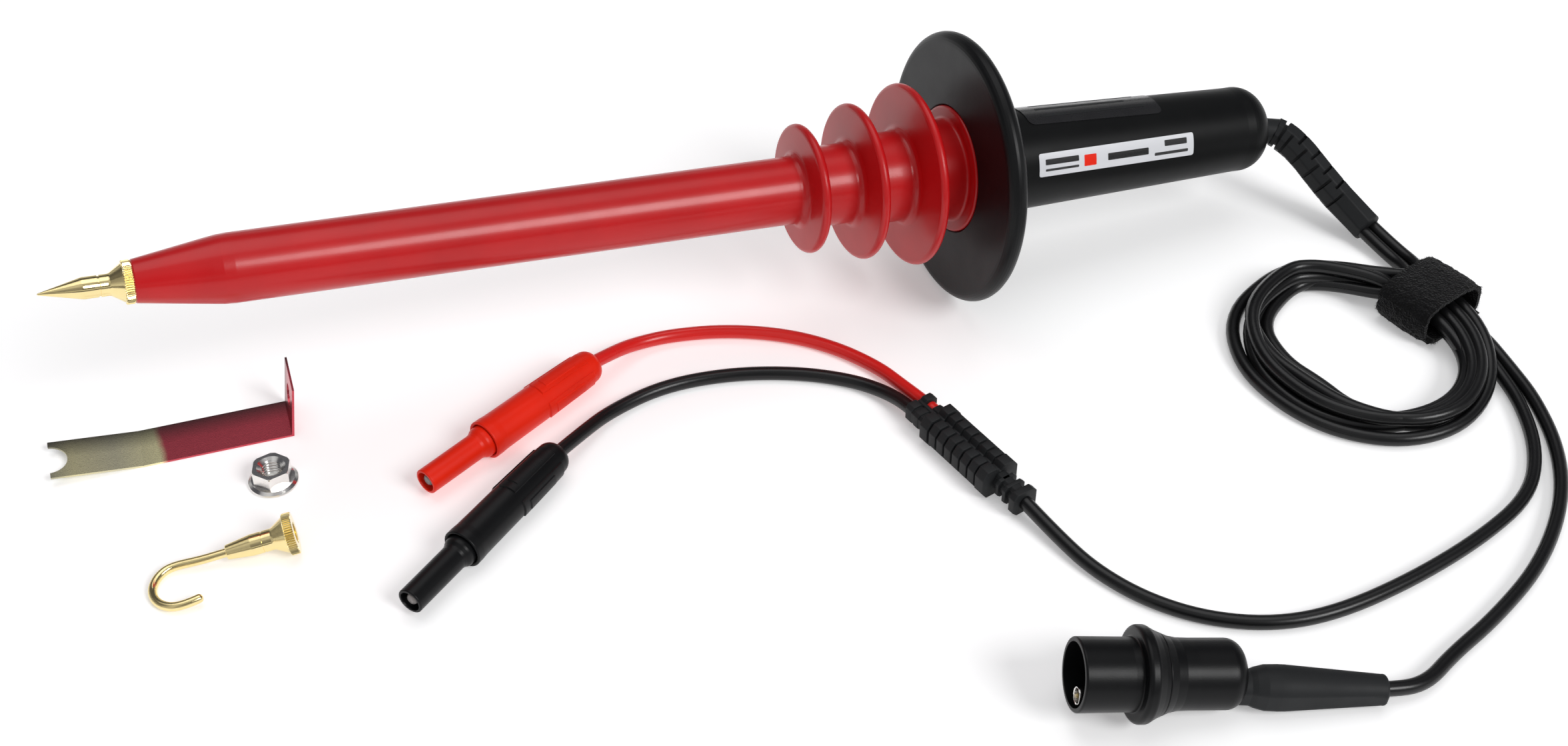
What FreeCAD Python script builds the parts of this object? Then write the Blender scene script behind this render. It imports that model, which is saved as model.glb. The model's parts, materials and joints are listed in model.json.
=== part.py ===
"""High-voltage oscilloscope probe with its leads and accessories, in millimetres.

The probe lies on a table (z = 0): it rests on the rim of its guard disc, at the origin, with the
needle tip raised towards -X and the handle towards +X. Each sub-part is one object of the
document and one STEP file in parts/.
"""
import FreeCAD
import Part
import Sketcher
import math
import os
import re

Vector = FreeCAD.Vector
Placement = FreeCAD.Placement
Rotation = FreeCAD.Rotation

# ---------------------------------------------------------------- driving dimensions (mm, degrees)
SIZES = {
    # gaps: a screwed or sliding pair, a fixed pair, and a thin wall of clearance round loose parts
    "slide_gap": 0.08, "fit_gap": 0.05, "seat_gap": 0.1,
    # needle tip; stations along the probe are measured from its point
    "cone_end": 11.3, "shank_end": 17.9, "shank_dia": 5.9, "knurl_start": 21.5, "flare_dia": 10.4,
    "knurl_dia": 11.7, "tip_len": 24.0, "groove_at": 15.2, "groove_wide": 0.5, "groove_deep": 0.25,
    # threaded stud (M6, drawn plain) and the insert that carries it
    "stud_dia": 5.8, "stud_len": 4.2, "stud_end_gap": 0.6, "insert_dia": 8.0, "insert_end": 36.0,
    # barrel
    "nose_dia": 11.7, "shoulder": 48.1, "barrel_dia": 19.0, "barrel_end_dia": 19.8,
    "barrel_bore": 13.2, "bore_start": 50.0,
    "shed_first": 214.5, "shed_pitch": 16.75, "shed_dia": 38.0, "shed_step": 8.1,
    "shed_thick": 2.8, "shed_root": 3.8, "root_round": 1.8, "neck_dia": 23.6, "neck_step": 3.2,
    "flange_dia": 38.0, "flange_out": 0.6, "flange_deep": 2.0,
    "spigot_dia": 25.0, "spigot_end": 284.0,
    # guard disc
    "guard_front": 262.0, "guard_thick": 6.0, "guard_dia": 81.4,
    # handle
    "handle_dia": 31.5, "handle_end_dia": 26.2, "handle_round": 363.4, "probe_len": 371.0,
    "cavity_start": 286.0, "cavity_end": 358.0, "cavity_dia": 25.6, "cavity_end_dia": 21.0,
    "probe_tilt": 7.02,
    # labels: a plate on the side that faces up and forward, and a film on the top
    "plate_start": 284.7, "plate_len": 54.5, "plate_high": 7.0, "plate_turn": 26.0,
    "film_start": 285.0, "film_len": 46.0, "film_high": 23.0, "film_turn": 118.0,
    "label_thick": 0.25, "label_box": 40.0,
    # high-voltage divider in the barrel
    "rod_dia": 8.4, "rod_start": 53.6, "rod_end": 238.4, "cap_dia": 9.4, "cap_len": 8.0,
    "cap_wall": 1.5, "spring_dia": 6.8, "spring_wire": 1.1, "ring_wide": 3.0,
    "ring_front": 90.0, "ring_rear": 190.0,
    "hv_lead_dia": 1.4, "hv_lead_rise": 1.6, "hv_lead_end": 292.0,
    # low side of the divider, on a board in the handle
    "board_start": 288.0, "board_len": 50.0, "board_wide": 18.0, "board_thick": 1.6,
    "low_res_at": 296.0, "low_res_len": 8.0, "low_res_dia": 3.4, "low_res_side": 4.0,
    "trim_at": 308.0, "trim_dia": 6.8, "trim_high": 4.0,
    "low_cap_at": 316.0, "low_cap_len": 7.0, "low_cap_wide": 5.0, "low_cap_high": 6.0,
    "holder_at": 330.0, "holder_len": 4.0, "holder_dia": 22.0, "holder_bore": 15.0,
    "clamp_at": 344.0, "clamp_len": 8.0, "clamp_dia": 20.6,
    # cables and strain relief
    "cable_dia": 4.1, "relief_dia": 10.0, "relief_hole": 10.2, "relief_flange": 14.0,
    "relief_flange_len": 2.0, "inner_start": 340.0,
    "coil_out": 80.0, "coil_in": 49.0, "coil_high": 11.0, "coil_round": 4.0,
    "coil_x": 99.0, "coil_y": -83.5,
    "tie_deep": 27.0, "tie_wide": 17.0, "tie_high": 14.0, "tie_thick": 1.6,
    "tie_from_coil": 33.0, "tie_turn": 17.0,
    # splitter, measured from its front end
    "split_len": 47.8, "split_core_start": 8.4, "split_core_end": 37.2, "split_core_wide": 11.6,
    "split_core_high": 8.8, "rib_count": 8, "rib_pitch": 3.5, "rib_wide": 2.3, "rib_stand": 0.45,
    "split_front_wide": 9.6, "split_front_high": 6.0, "split_rear_dia": 7.0, "split_high": 4.95,
    "split_turn": -76.8, "lead_apart": 4.7,
    "splice_start": 12.5, "splice_len": 20.0, "splice_dia": 2.8, "splice_apart": 5.2,
    # 4 mm plugs with a sliding sheath, measured from the mouth of the sheath
    "plug_len": 66.5, "plug_high": 6.2, "sheath_dia": 7.6, "sheath_bore": 5.2, "sheath_len": 30.0,
    "plug_front": 22.0, "collar_dia": 11.8, "collar_end": 28.0, "plug_dia": 11.0,
    "plug_taper": 56.0, "plug_tail_dia": 7.0, "cavity_back": 50.2, "pin_dia": 4.0,
    "pin_tail": 53.0, "pin_cap_len": 1.4, "pin_set": 0.3, "plug_spring_dia": 7.2,
    "collar_round": 1.2,
    # insulated coaxial connector, measured from the mouth of its shroud
    "shroud_dia": 19.1, "shroud_bore": 16.4, "ring_at": 18.3, "ring_thick": 6.4,
    "ring_dia": 25.0, "ring_round": 2.4,
    "nose_start": 14.0, "housing_start": 21.7, "housing_dia": 18.2, "housing_round": 39.6,
    "housing_end": 43.9, "boot_neck_dia": 9.6, "boot_dia": 11.8, "boot_belly": 7.5,
    "boot_end_dia": 7.8, "boot_len": 40.1, "contact_drop": 5.3, "contact_turn": -38.0,
    "contact_dia": 4.8, "contact_wall": 0.5, "contact_start": 0.8,
    "contact_end": 17.0, "insulator_start": 4.5, "insulator_end": 16.0, "centre_pin_dia": 1.3,
    "centre_pin_start": 1.6, "centre_pin_end": 19.0, "ferrule_dia": 6.4, "ferrule_start": 26.0,
    "ferrule_end": 37.0,
    # spare hook tip, measured from the knurled end
    "hook_knurl_end": 2.5, "hook_flare_end": 6.3, "hook_shank_end": 12.0, "hook_shank_dia": 6.0,
    "hook_base_len": 19.0, "hook_nose_dia": 4.0, "hook_wire_dia": 2.5, "hook_wire_in": 4.0,
    "hook_bend_at": 32.0, "hook_bend_radius": 6.9, "hook_return": 5.5, "hook_bore_len": 5.0,
    # contact strip and flange nut
    "strip_len": 67.5, "strip_wide": 15.0, "strip_thick": 0.6, "strip_bend": 25.0,
    "strip_lift": 2.6, "tab_high": 17.0, "tab_out": 2.4, "tab_hole_dia": 6.4, "tab_hole_high": 9.5,
    "fork_dia": 11.0, "fork_out": 0.5,
    "nut_flats": 10.0, "nut_high": 6.0, "nut_flange_dia": 14.2, "nut_flange_high": 1.2,
    "nut_bore": 6.1,
}

doc = FreeCAD.newDocument("high_voltage_probe")
sheet = doc.addObject("Spreadsheet::Sheet", "Sizes")
for row, (size_name, number) in enumerate(SIZES.items(), start=1):
    sheet.set(f"A{row}", size_name)
    sheet.set(f"B{row}", str(number))
    sheet.setAlias(f"B{row}", size_name)
doc.recompute()

SPARE_CELL = "D1"
subparts = []


# ---------------------------------------------------------------- helpers
def bound(formula):
    """The formula with each size's name pointing at its cell in the sheet."""
    names = r"\b(" + "|".join(SIZES) + r")\b"
    return re.sub(names, r"Sizes.\1", formula)


def value(formula):
    """The number that a formula gives, worked out in a spare cell of the sheet."""
    sheet.set(SPARE_CELL, "=" + formula)
    sheet.recompute()
    return float(sheet.get(SPARE_CELL))


def bind(thing, **formulas):
    """Bind properties of an object to formulas of the sheet's sizes."""
    for prop, formula in formulas.items():
        thing.setExpression(prop, bound(formula))
    return thing


def keep(thing, place=None):
    """Count an object as a sub-part and put it in its place."""
    if place is not None:
        thing.Placement = place
    subparts.append(thing)
    return thing


def at(x=0.0, y=0.0, z=0.0, rotation=None):
    return Placement(Vector(x, y, z), rotation or Rotation())


def heading(base, yaw, pitch=0.0):
    """A place whose X axis points yaw degrees from +X and dips by pitch degrees."""
    return Placement(base, Rotation(yaw, pitch, 0))


ALONG = "along"
RADIAL = "radial"


def quarter_round(start, end, leaves):
    """A quarter circle that leaves start along the axis or radially, and whether it runs to end.

    A sketch holds its arcs anticlockwise, so a clockwise one is made from end to start.
    """
    centre = Vector(start.x, end.y, 0) if leaves == ALONG else Vector(end.x, start.y, 0)
    middle = (start + end) * 0.5 - centre
    middle.normalize()
    middle = centre + middle * start.distanceToPoint(centre)
    if (start - centre).cross(end - centre).z > 0:
        return Part.Arc(start, middle, end), True
    return Part.Arc(end, middle, start), False


def origin_sketch(body, name):
    """A new sketch on a body's own XZ plane."""
    sketch = body.newObject("Sketcher::SketchObject", name)
    plane = [f for f in body.Origin.OriginFeatures if f.Role == "XZ_Plane"][0]
    sketch.AttachmentSupport = [(plane, "")]
    sketch.MapMode = "FlatFace"
    return sketch


def draw_outline(sketch, outline):
    """Draw a closed outline of (across, up) formulas, each corner bound to the sheet.

    A third item, ALONG or RADIAL, makes the edge to the next corner a quarter round that leaves
    this corner in that direction.
    """
    corners = [Vector(value(corner[0]), value(corner[1]), 0) for corner in outline]
    ends = []
    for index, corner in enumerate(outline):
        start = corners[index]
        end = corners[(index + 1) % len(corners)]
        edge, forward = Part.LineSegment(start, end), True
        if len(corner) > 2:
            edge, forward = quarter_round(start, end, corner[2])
        sketch.addGeometry(edge, False)
        ends.append((1, 2) if forward else (2, 1))
    for index, corner in enumerate(outline):
        after = (index + 1) % len(outline)
        first = ends[index][0]
        sketch.addConstraint(
            Sketcher.Constraint("Coincident", index, ends[index][1], after, ends[after][0]))
        for kind, axis, formula in (("DistanceX", -2, corner[0]), ("DistanceY", -1, corner[1])):
            if formula == "0":
                sketch.addConstraint(Sketcher.Constraint("PointOnObject", index, first, axis))
                continue
            number = sketch.addConstraint(
                Sketcher.Constraint(kind, -1, 1, index, first, value(formula)))
            sketch.setExpression(f"Constraints[{number}]", bound(formula))
        if len(corner) > 2:
            level = "Vertical" if corner[2] == ALONG else "Horizontal"
            sketch.addConstraint(Sketcher.Constraint(level, index, 3, index, first))


def turned(name, *outlines):
    """A body turned about its own X axis, from one or more outlines of (along, radius) formulas."""
    body = doc.addObject("PartDesign::Body", name)
    for number, outline in enumerate(outlines, start=1):
        sketch = origin_sketch(body, f"{name}_outline_{number}")
        draw_outline(sketch, outline)
        revolution = body.newObject("PartDesign::Revolution", f"{name}_turned_{number}")
        revolution.Profile = sketch
        revolution.ReferenceAxis = (sketch, ["H_Axis"])
        revolution.Angle = 360.0
        body.Tip = revolution
    return body


def box(name, length, width, height, place=None):
    thing = bind(doc.addObject("Part::Box", name), Length=length, Width=width, Height=height)
    thing.Placement = place or at()
    return thing


def cylinder(name, diameter, height, place=None):
    thing = bind(doc.addObject("Part::Cylinder", name), Radius=f"({diameter})/2", Height=height)
    thing.Placement = place or at()
    return thing


def cone(name, first_radius, second_radius, height, place=None):
    thing = doc.addObject("Part::Cone", name)
    bind(thing, Radius1=first_radius, Radius2=second_radius, Height=height)
    thing.Placement = place or at()
    return thing


def cut(name, base, tool):
    thing = doc.addObject("Part::Cut", name)
    thing.Base = base
    thing.Tool = tool
    return thing


def common(name, base, tool):
    thing = doc.addObject("Part::Common", name)
    thing.Base = base
    thing.Tool = tool
    return thing


def fused(name, shapes):
    thing = doc.addObject("Part::MultiFuse", name)
    thing.Shapes = shapes
    return thing


LIES_ALONG_X = Rotation(Vector(0, 1, 0), 90)


def rounded_path(points):
    """A wire of straight runs joined by tangent arcs, each as large as its two runs allow."""
    share = 0.45
    corners = [Vector(*point) for point in points]
    edges = []
    radii = []
    here = corners[0]
    for before, corner, after in zip(corners, corners[1:], corners[2:]):
        back = before - corner
        ahead = after - corner
        half_turn = (math.pi - back.getAngle(ahead)) / 2
        reach = share * min(back.Length, ahead.Length)
        radius = reach / math.tan(half_turn)
        back.normalize()
        ahead.normalize()
        inward = back + ahead
        inward.normalize()
        middle = corner + inward * (radius / math.cos(half_turn) - radius)
        arc_start = corner + back * reach
        arc_end = corner + ahead * reach
        edges.append(Part.LineSegment(here, arc_start).toShape())
        edges.append(Part.Arc(arc_start, middle, arc_end).toShape())
        radii.append(radius)
        here = arc_end
    edges.append(Part.LineSegment(here, corners[-1]).toShape())
    return Part.Wire(edges), radii


def swept(points, diameter):
    """A solid round bar along a rounded path, checked against its section times its length."""
    path, radii = rounded_path(points)
    direction = Vector(*points[1]) - Vector(*points[0])
    circle = Part.makeCircle(diameter / 2, Vector(*points[0]), direction)
    solid = path.makePipeShell([Part.Wire([circle])], True, True)
    expected = math.pi * diameter ** 2 / 4 * path.Length
    if abs(solid.Volume - expected) > 0.01 * expected:
        raise ValueError(f"swept volume {solid.Volume:.1f}, expected {expected:.1f}")
    return solid, path.Length, radii


def cord(name, points, diameter):
    """A stretch of free cable, as a plain tube of its own."""
    solid, length, radii = swept(points, diameter)
    print(f"{name}: length {length:.1f}, radii", [round(radius, 1) for radius in radii])
    feature = doc.addObject("Part::Feature", name)
    feature.Shape = solid
    return keep(feature)


# ---------------------------------------------------------------- where the assemblies lie
tilt = math.radians(value("probe_tilt"))
along_probe = Vector(math.cos(tilt), 0, -math.sin(tilt))
rim_circle = value("guard_dia / 2 - guard_thick / 2")
rim_round = value("guard_thick / 2")
guard_centre = Vector(rim_circle * math.sin(tilt), 0, rim_circle * math.cos(tilt) + rim_round)
probe = heading(
    guard_centre - along_probe * value("guard_front + guard_thick / 2"), 0, value("probe_tilt"))


def on_probe(along, side=0.0, up=0.0, rotation=None):
    """A place in the probe's own frame: X from the needle's point towards the handle."""
    return probe * at(along, side, up, rotation)


RED_PLUG_REAR = (-113.5, -5.7)
RED_PLUG_YAW = 27.0
BLACK_PLUG_REAR = (-134.7, -38.1)
BLACK_PLUG_YAW = 36.4
SPLITTER_FRONT = (-32.5, -57.2)
CONNECTOR_MOUTH = (-42.6, -171.2, 15.35)
CONNECTOR_YAW = -14.0
CONNECTOR_DIP = 8.8
BOOT_FRONT = (-3.7, -183.8, 7.25)
BOOT_YAW = -19.5
BOOT_DIP = 4.5
HOOK_END = (-210.4, -41.4)
HOOK_YAW = 174.3
HOOK_DIP = 7.1
STRIP_END = (-268.5, 15.3)
STRIP_YAW = -4.3
NUT_CENTRE = (-211.2, -13.4)

connector = heading(Vector(*CONNECTOR_MOUTH), CONNECTOR_YAW, CONNECTOR_DIP)
boot = heading(Vector(*BOOT_FRONT), BOOT_YAW, BOOT_DIP)
splitter = heading(Vector(*SPLITTER_FRONT, value("split_high")), value("split_turn"))
hook_dip = math.radians(HOOK_DIP)
hook_height = (value("knurl_dia / 2") * math.cos(hook_dip)
               + value("hook_knurl_end") * math.sin(hook_dip))
hook = heading(Vector(*HOOK_END, hook_height), HOOK_YAW, HOOK_DIP)
strip = heading(Vector(*STRIP_END, 0), STRIP_YAW)


# ---------------------------------------------------------------- needle tip and its stud
def make_tip():
    groove_floor = "shank_dia / 2 - groove_deep"
    thread = "stud_dia / 2 + slide_gap"
    tip = turned("needle_tip", [
        ("0", "0"),
        ("cone_end", "shank_dia / 2"),
        ("groove_at", "shank_dia / 2"),
        ("groove_at", groove_floor),
        ("groove_at + groove_wide", groove_floor),
        ("groove_at + groove_wide", "shank_dia / 2"),
        ("shank_end", "shank_dia / 2"),
        ("knurl_start", "flare_dia / 2"),
        ("knurl_start", "knurl_dia / 2"),
        ("tip_len", "knurl_dia / 2"),
        ("tip_len", thread),
        ("tip_len - stud_len - stud_end_gap", thread),
        ("tip_len - stud_len - stud_end_gap", "0"),
    ])
    keep(tip, probe)
    stud = turned("tip_stud", [
        ("tip_len - stud_len", "0"),
        ("tip_len - stud_len", "stud_dia / 2"),
        ("tip_len + seat_gap", "stud_dia / 2"),
        ("tip_len + seat_gap", "insert_dia / 2"),
        ("insert_end", "insert_dia / 2"),
        ("insert_end", "0"),
    ])
    keep(stud, probe)


# ---------------------------------------------------------------- barrel with its rain sheds
def neck_radius(index):
    """The radius of the neck behind a shed; the barrel itself ends in front of the first."""
    return f"(neck_dia / 2 + {index} * neck_step / 2)" if index >= 0 else "(barrel_end_dia / 2)"


def shed_outline(index):
    """The half section of one shed: a disc with a round rim, on filleted roots."""
    centre = f"(shed_first + {index} * shed_pitch)"
    rim = f"(shed_dia / 2 + {index} * shed_step / 2)"
    before = neck_radius(index - 1)
    after = neck_radius(index)
    foot = "shed_root / 2 + root_round"
    return [
        (f"{centre} - ({foot})", "barrel_bore / 2 + 1"),
        (f"{centre} - ({foot})", before, ALONG),
        (f"{centre} - shed_root / 2", f"{before} + root_round"),
        (f"{centre} - shed_thick / 2", f"{rim} - shed_thick / 2", RADIAL),
        (centre, rim, ALONG),
        (f"{centre} + shed_thick / 2", f"{rim} - shed_thick / 2"),
        (f"{centre} + shed_root / 2", f"{after} + root_round", RADIAL),
        (f"{centre} + {foot}", after),
        (f"{centre} + {foot}", "barrel_bore / 2 + 1"),
    ]


def make_barrel():
    insert_hole = "insert_dia / 2 + fit_gap"
    tube = [
        ("tip_len", insert_hole),
        ("tip_len", "nose_dia / 2"),
        ("shoulder", "barrel_dia / 2"),
        ("shed_first", neck_radius(-1)),
    ]
    for index in range(3):
        tube.append((f"shed_first + {index} * shed_pitch", neck_radius(index)))
        tube.append((f"shed_first + {index + 1} * shed_pitch", neck_radius(index)))
    tube[-1] = ("guard_front - flange_out", neck_radius(2))
    tube += [
        ("guard_front - flange_out", "flange_dia / 2"),
        ("guard_front + flange_deep", "flange_dia / 2"),
        ("guard_front + flange_deep", "spigot_dia / 2"),
        ("spigot_end", "spigot_dia / 2"),
        ("spigot_end", "barrel_bore / 2"),
        ("bore_start", "barrel_bore / 2"),
        ("bore_start", insert_hole),
    ]
    keep(turned("barrel", tube, *[shed_outline(index) for index in range(3)]), probe)


# ---------------------------------------------------------------- guard disc
def make_guard():
    recess = "flange_dia / 2 + seat_gap"
    hole = "spigot_dia / 2 + seat_gap"
    guard = turned("guard_disc", [
        ("guard_front", recess),
        ("guard_front", "guard_dia / 2 - guard_thick / 2", RADIAL),
        ("guard_front + guard_thick / 2", "guard_dia / 2", ALONG),
        ("guard_front + guard_thick", "guard_dia / 2 - guard_thick / 2"),
        ("guard_front + guard_thick", hole),
        ("guard_front + flange_deep + seat_gap", hole),
        ("guard_front + flange_deep + seat_gap", recess),
    ])
    keep(guard, probe)


# ---------------------------------------------------------------- handle and its labels
def make_handle():
    spigot_hole = "spigot_dia / 2 + seat_gap"
    handle_front = "guard_front + guard_thick"
    handle = turned("handle", [
        (handle_front, spigot_hole),
        (handle_front, "handle_dia / 2"),
        ("handle_round", "handle_end_dia / 2", ALONG),
        ("probe_len", "handle_end_dia / 2 - probe_len + handle_round"),
        ("probe_len", "relief_hole / 2"),
        ("cavity_end", "relief_hole / 2"),
        ("cavity_end", "cavity_end_dia / 2"),
        ("cavity_start", "cavity_dia / 2"),
        ("cavity_start", spigot_hole),
    ])
    keep(handle, probe)


def make_label(name, start, length, height, turn):
    """A thin patch of the handle's cone, turned about the probe's axis to where it is stuck."""
    slope = "(handle_end_dia - handle_dia) / 2 / (handle_round - guard_front - guard_thick)"
    front = f"handle_dia / 2 + {slope} * ({start} - guard_front - guard_thick)"
    rear = f"handle_dia / 2 + {slope} * ({start} + {length} - guard_front - guard_thick)"
    lying = at(rotation=LIES_ALONG_X)
    outer = cone(name + "_outer", f"{front} + label_thick", f"{rear} + label_thick", length, lying)
    inner = cone(name + "_inner", front, rear, length, lying)
    window = box(name + "_window", length, "label_box", height,
                 at(0, -value("label_box"), -value(height) / 2))
    patch = common(name, cut(name + "_skin", outer, inner), window)
    turned_up = Rotation(Vector(1, 0, 0), -value(turn))
    keep(patch, on_probe(value(start), rotation=turned_up))


# ---------------------------------------------------------------- divider inside the barrel
def make_end_cap(name, closed_end, open_end, rod_face):
    """A cup pressed on one end of the resistor rod."""
    wall = "rod_dia / 2 + fit_gap"
    cap = turned(name, [
        (closed_end, "0"),
        (closed_end, "cap_dia / 2"),
        (open_end, "cap_dia / 2"),
        (open_end, wall),
        (rod_face, wall),
        (rod_face, "0"),
    ])
    keep(cap, probe)


def make_ring(name, start, length, outer_dia, bore_dia):
    """A plain ring on the probe's axis."""
    ring = turned(name, [
        (start, f"({bore_dia}) / 2"),
        (start, f"({outer_dia}) / 2"),
        (f"{start} + {length}", f"({outer_dia}) / 2"),
        (f"{start} + {length}", f"({bore_dia}) / 2"),
    ])
    return keep(ring, probe)


def make_divider():
    rod = turned("resistor_rod", [
        ("rod_start", "0"), ("rod_start", "rod_dia / 2"), ("rod_end", "rod_dia / 2"),
        ("rod_end", "0")])
    keep(rod, probe)
    front_face = "rod_start - fit_gap"
    rear_face = "rod_end + fit_gap"
    make_end_cap("resistor_cap_front", f"{front_face} - cap_wall",
                 f"{front_face} - cap_wall + cap_len", front_face)
    make_end_cap("resistor_cap_rear", f"{rear_face} + cap_wall",
                 f"{rear_face} + cap_wall - cap_len", rear_face)
    make_ring("contact_spring", "insert_end + fit_gap",
              "rod_start - cap_wall - insert_end - 3 * fit_gap",
              "spring_dia", "spring_dia - 2 * spring_wire")
    for name, start in (("centring_ring_front", "ring_front"), ("centring_ring_rear", "ring_rear")):
        make_ring(name, start, "ring_wide", "barrel_bore - 2 * seat_gap", "rod_dia + 2 * fit_gap")


# ---------------------------------------------------------------- low side, inside the handle
def make_low_side():
    board_top = value("board_thick / 2")
    lead_start = value("rod_end + 2 * fit_gap + cap_wall")
    lead = cylinder("high_voltage_lead", "hv_lead_dia",
                    "hv_lead_end - rod_end - 2 * fit_gap - cap_wall")
    keep(lead, on_probe(lead_start, 0, value("hv_lead_rise"), LIES_ALONG_X))
    board = box("circuit_board", "board_len", "board_wide", "board_thick")
    keep(board, on_probe(value("board_start"), -value("board_wide / 2"), -board_top))
    resistor = cylinder("low_side_resistor", "low_res_dia", "low_res_len")
    keep(resistor, on_probe(value("low_res_at"), value("low_res_side"),
                            board_top + value("low_res_dia / 2"), LIES_ALONG_X))
    trimmer = cylinder("trimmer_capacitor", "trim_dia", "trim_high")
    keep(trimmer, on_probe(value("trim_at"), 0, board_top))
    capacitor = box("low_side_capacitor", "low_cap_len", "low_cap_wide", "low_cap_high")
    keep(capacitor, on_probe(value("low_cap_at"), -value("low_cap_wide / 2"), board_top))
    ring = turned("board_holder_ring", [
        ("0", "holder_bore / 2"), ("0", "holder_dia / 2"),
        ("holder_len", "holder_dia / 2"), ("holder_len", "holder_bore / 2")])
    slot = box("board_holder_slot", "holder_len + 2", "board_wide + 2 * fit_gap",
               "board_thick + 2 * fit_gap",
               at(-1, -value("board_wide / 2 + fit_gap"), -value("board_thick / 2 + fit_gap")))
    keep(cut("board_holder", ring, slot), on_probe(value("holder_at")))
    block = turned("cable_clamp_block", [
        ("0", "0"), ("0", "clamp_dia / 2"), ("clamp_len", "clamp_dia / 2"), ("clamp_len", "0")])
    apart = value("cable_dia / 2 + seat_gap")
    holes = []
    for name, side in (("clamp_hole_left", -apart), ("clamp_hole_right", apart)):
        place = at(-1, side, 0, LIES_ALONG_X)
        holes.append(cylinder(name, "cable_dia + 2 * fit_gap", "clamp_len + 2", place))
    keep(cut("cable_clamp", block, fused("clamp_holes", holes)), on_probe(value("clamp_at")))
    inner_len = "cavity_end - relief_flange_len - inner_start - 2 * fit_gap"
    for name, side in (("meter_cable_inner", -apart), ("scope_cable_inner", apart)):
        inner = cylinder(name, "cable_dia", inner_len)
        keep(inner, on_probe(value("inner_start"), side, 0, LIES_ALONG_X))


# ---------------------------------------------------------------- strain relief
RELIEF_ROUTE = [
    tuple(on_probe(value("cavity_end - fit_gap")).Base),
    tuple(on_probe(value("probe_len") + 5).Base),
    (120.2, -8.2, 23.2),
    (125.6, -19.4, 14.6),
    (130.4, -26.8, 8.2),
    (132.9, -34.9, 5.6),
]


def make_strain_relief():
    """A bent bar out of the handle's end, with a flange that holds it inside."""
    bar = swept(RELIEF_ROUTE, value("relief_dia"))[0]
    flange = Part.makeCylinder(value("relief_flange / 2"), value("relief_flange_len"),
                               Vector(0, 0, 0), Vector(1, 0, 0))
    start = value("cavity_end - fit_gap - relief_flange_len")
    flange.Placement = on_probe(start)
    feature = doc.addObject("Part::Feature", "strain_relief")
    feature.Shape = bar.fuse(flange).removeSplitter()
    keep(feature)


# ---------------------------------------------------------------- free cables
SCOPE_CABLE_START = [
    (135.2, -34.9, 5.1), (137.7, -45.1, 2.8), (139, -56.6, 3.3), (131, -71.5, 6.0)]
METER_CABLE_START = [
    (131.1, -36.0, 5.1), (133.5, -45.9, 2.8), (134.3, -55.7, 3.3), (127.5, -69, 6.0)]
SCOPE_CABLE_END = [
    (131.5, -77, 6.0), (138.4, -89, 3.0), (138, -104, 2.1), (136.3, -119.8, 2.1),
    (129.6, -139.7, 2.1), (117.6, -157.5, 2.1), (97.7, -174.5, 2.1), (74.5, -186, 2.1),
    (57.5, -192.1, 2.1), (45, -198.4, 2.7)]
METER_CABLE_END = [
    (126.5, -78.5, 6.0), (134.4, -91, 3.4), (133.9, -104.5, 2.1), (131.6, -119, 2.1),
    (124, -137, 2.1), (111, -151.5, 2.1), (89, -160, 2.1), (63, -166, 2.1),
    (38, -168.7, 2.1), (20.3, -166, 2.1), (5, -157.8, 2.1), (-6.2, -146.4, 2.1),
    (-13.8, -132.6, 2.1), (-18, -119, 3.0)]
BLACK_LEAD = [
    (-37.4, -47.6, 3.2), (-44.6, -37.4, 2.1), (-58.4, -28.2, 2.1), (-77, -21.2, 2.1),
    (-97, -18.9, 2.1), (-115.2, -24, 2.6), (-126.3, -31.9, 4.8)]
RED_LEAD = [
    (-32.5, -46, 3.2), (-35.2, -35.2, 2.1), (-43.4, -22.2, 2.1), (-55, -11.2, 2.1),
    (-71, -2.6, 2.1), (-87, 1.5, 2.1), (-97.6, 1.2, 2.8), (-105.6, -1.9, 4.9)]


def place_of(assembly, along, side=0.0):
    return tuple((assembly * at(along, side)).Base)


def plug_frame(rear, yaw):
    """The frame of a 4 mm plug: X from the mouth of its sheath to its rear end."""
    length = value("plug_len")
    turn = math.radians(yaw)
    mouth = Vector(rear[0] - length * math.cos(turn), rear[1] - length * math.sin(turn),
                   value("plug_high"))
    return heading(mouth, yaw)


red_plug = plug_frame(RED_PLUG_REAR, RED_PLUG_YAW)
black_plug = plug_frame(BLACK_PLUG_REAR, BLACK_PLUG_YAW)


def make_cables():
    diameter = value("cable_dia")
    half_apart = value("lead_apart / 2")
    cord("scope_cable_start", SCOPE_CABLE_START, diameter)
    cord("meter_cable_start", METER_CABLE_START, diameter)
    cord("scope_cable_end", SCOPE_CABLE_END + [place_of(boot, value("boot_len"))], diameter)
    cord("meter_cable_end", METER_CABLE_END + [place_of(splitter, value("split_len"))], diameter)
    cord("black_lead", [place_of(splitter, 0, -half_apart)] + BLACK_LEAD
         + [place_of(black_plug, value("plug_len"))], diameter)
    cord("red_lead", [place_of(splitter, 0, half_apart)] + RED_LEAD
         + [place_of(red_plug, value("plug_len"))], diameter)


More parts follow.
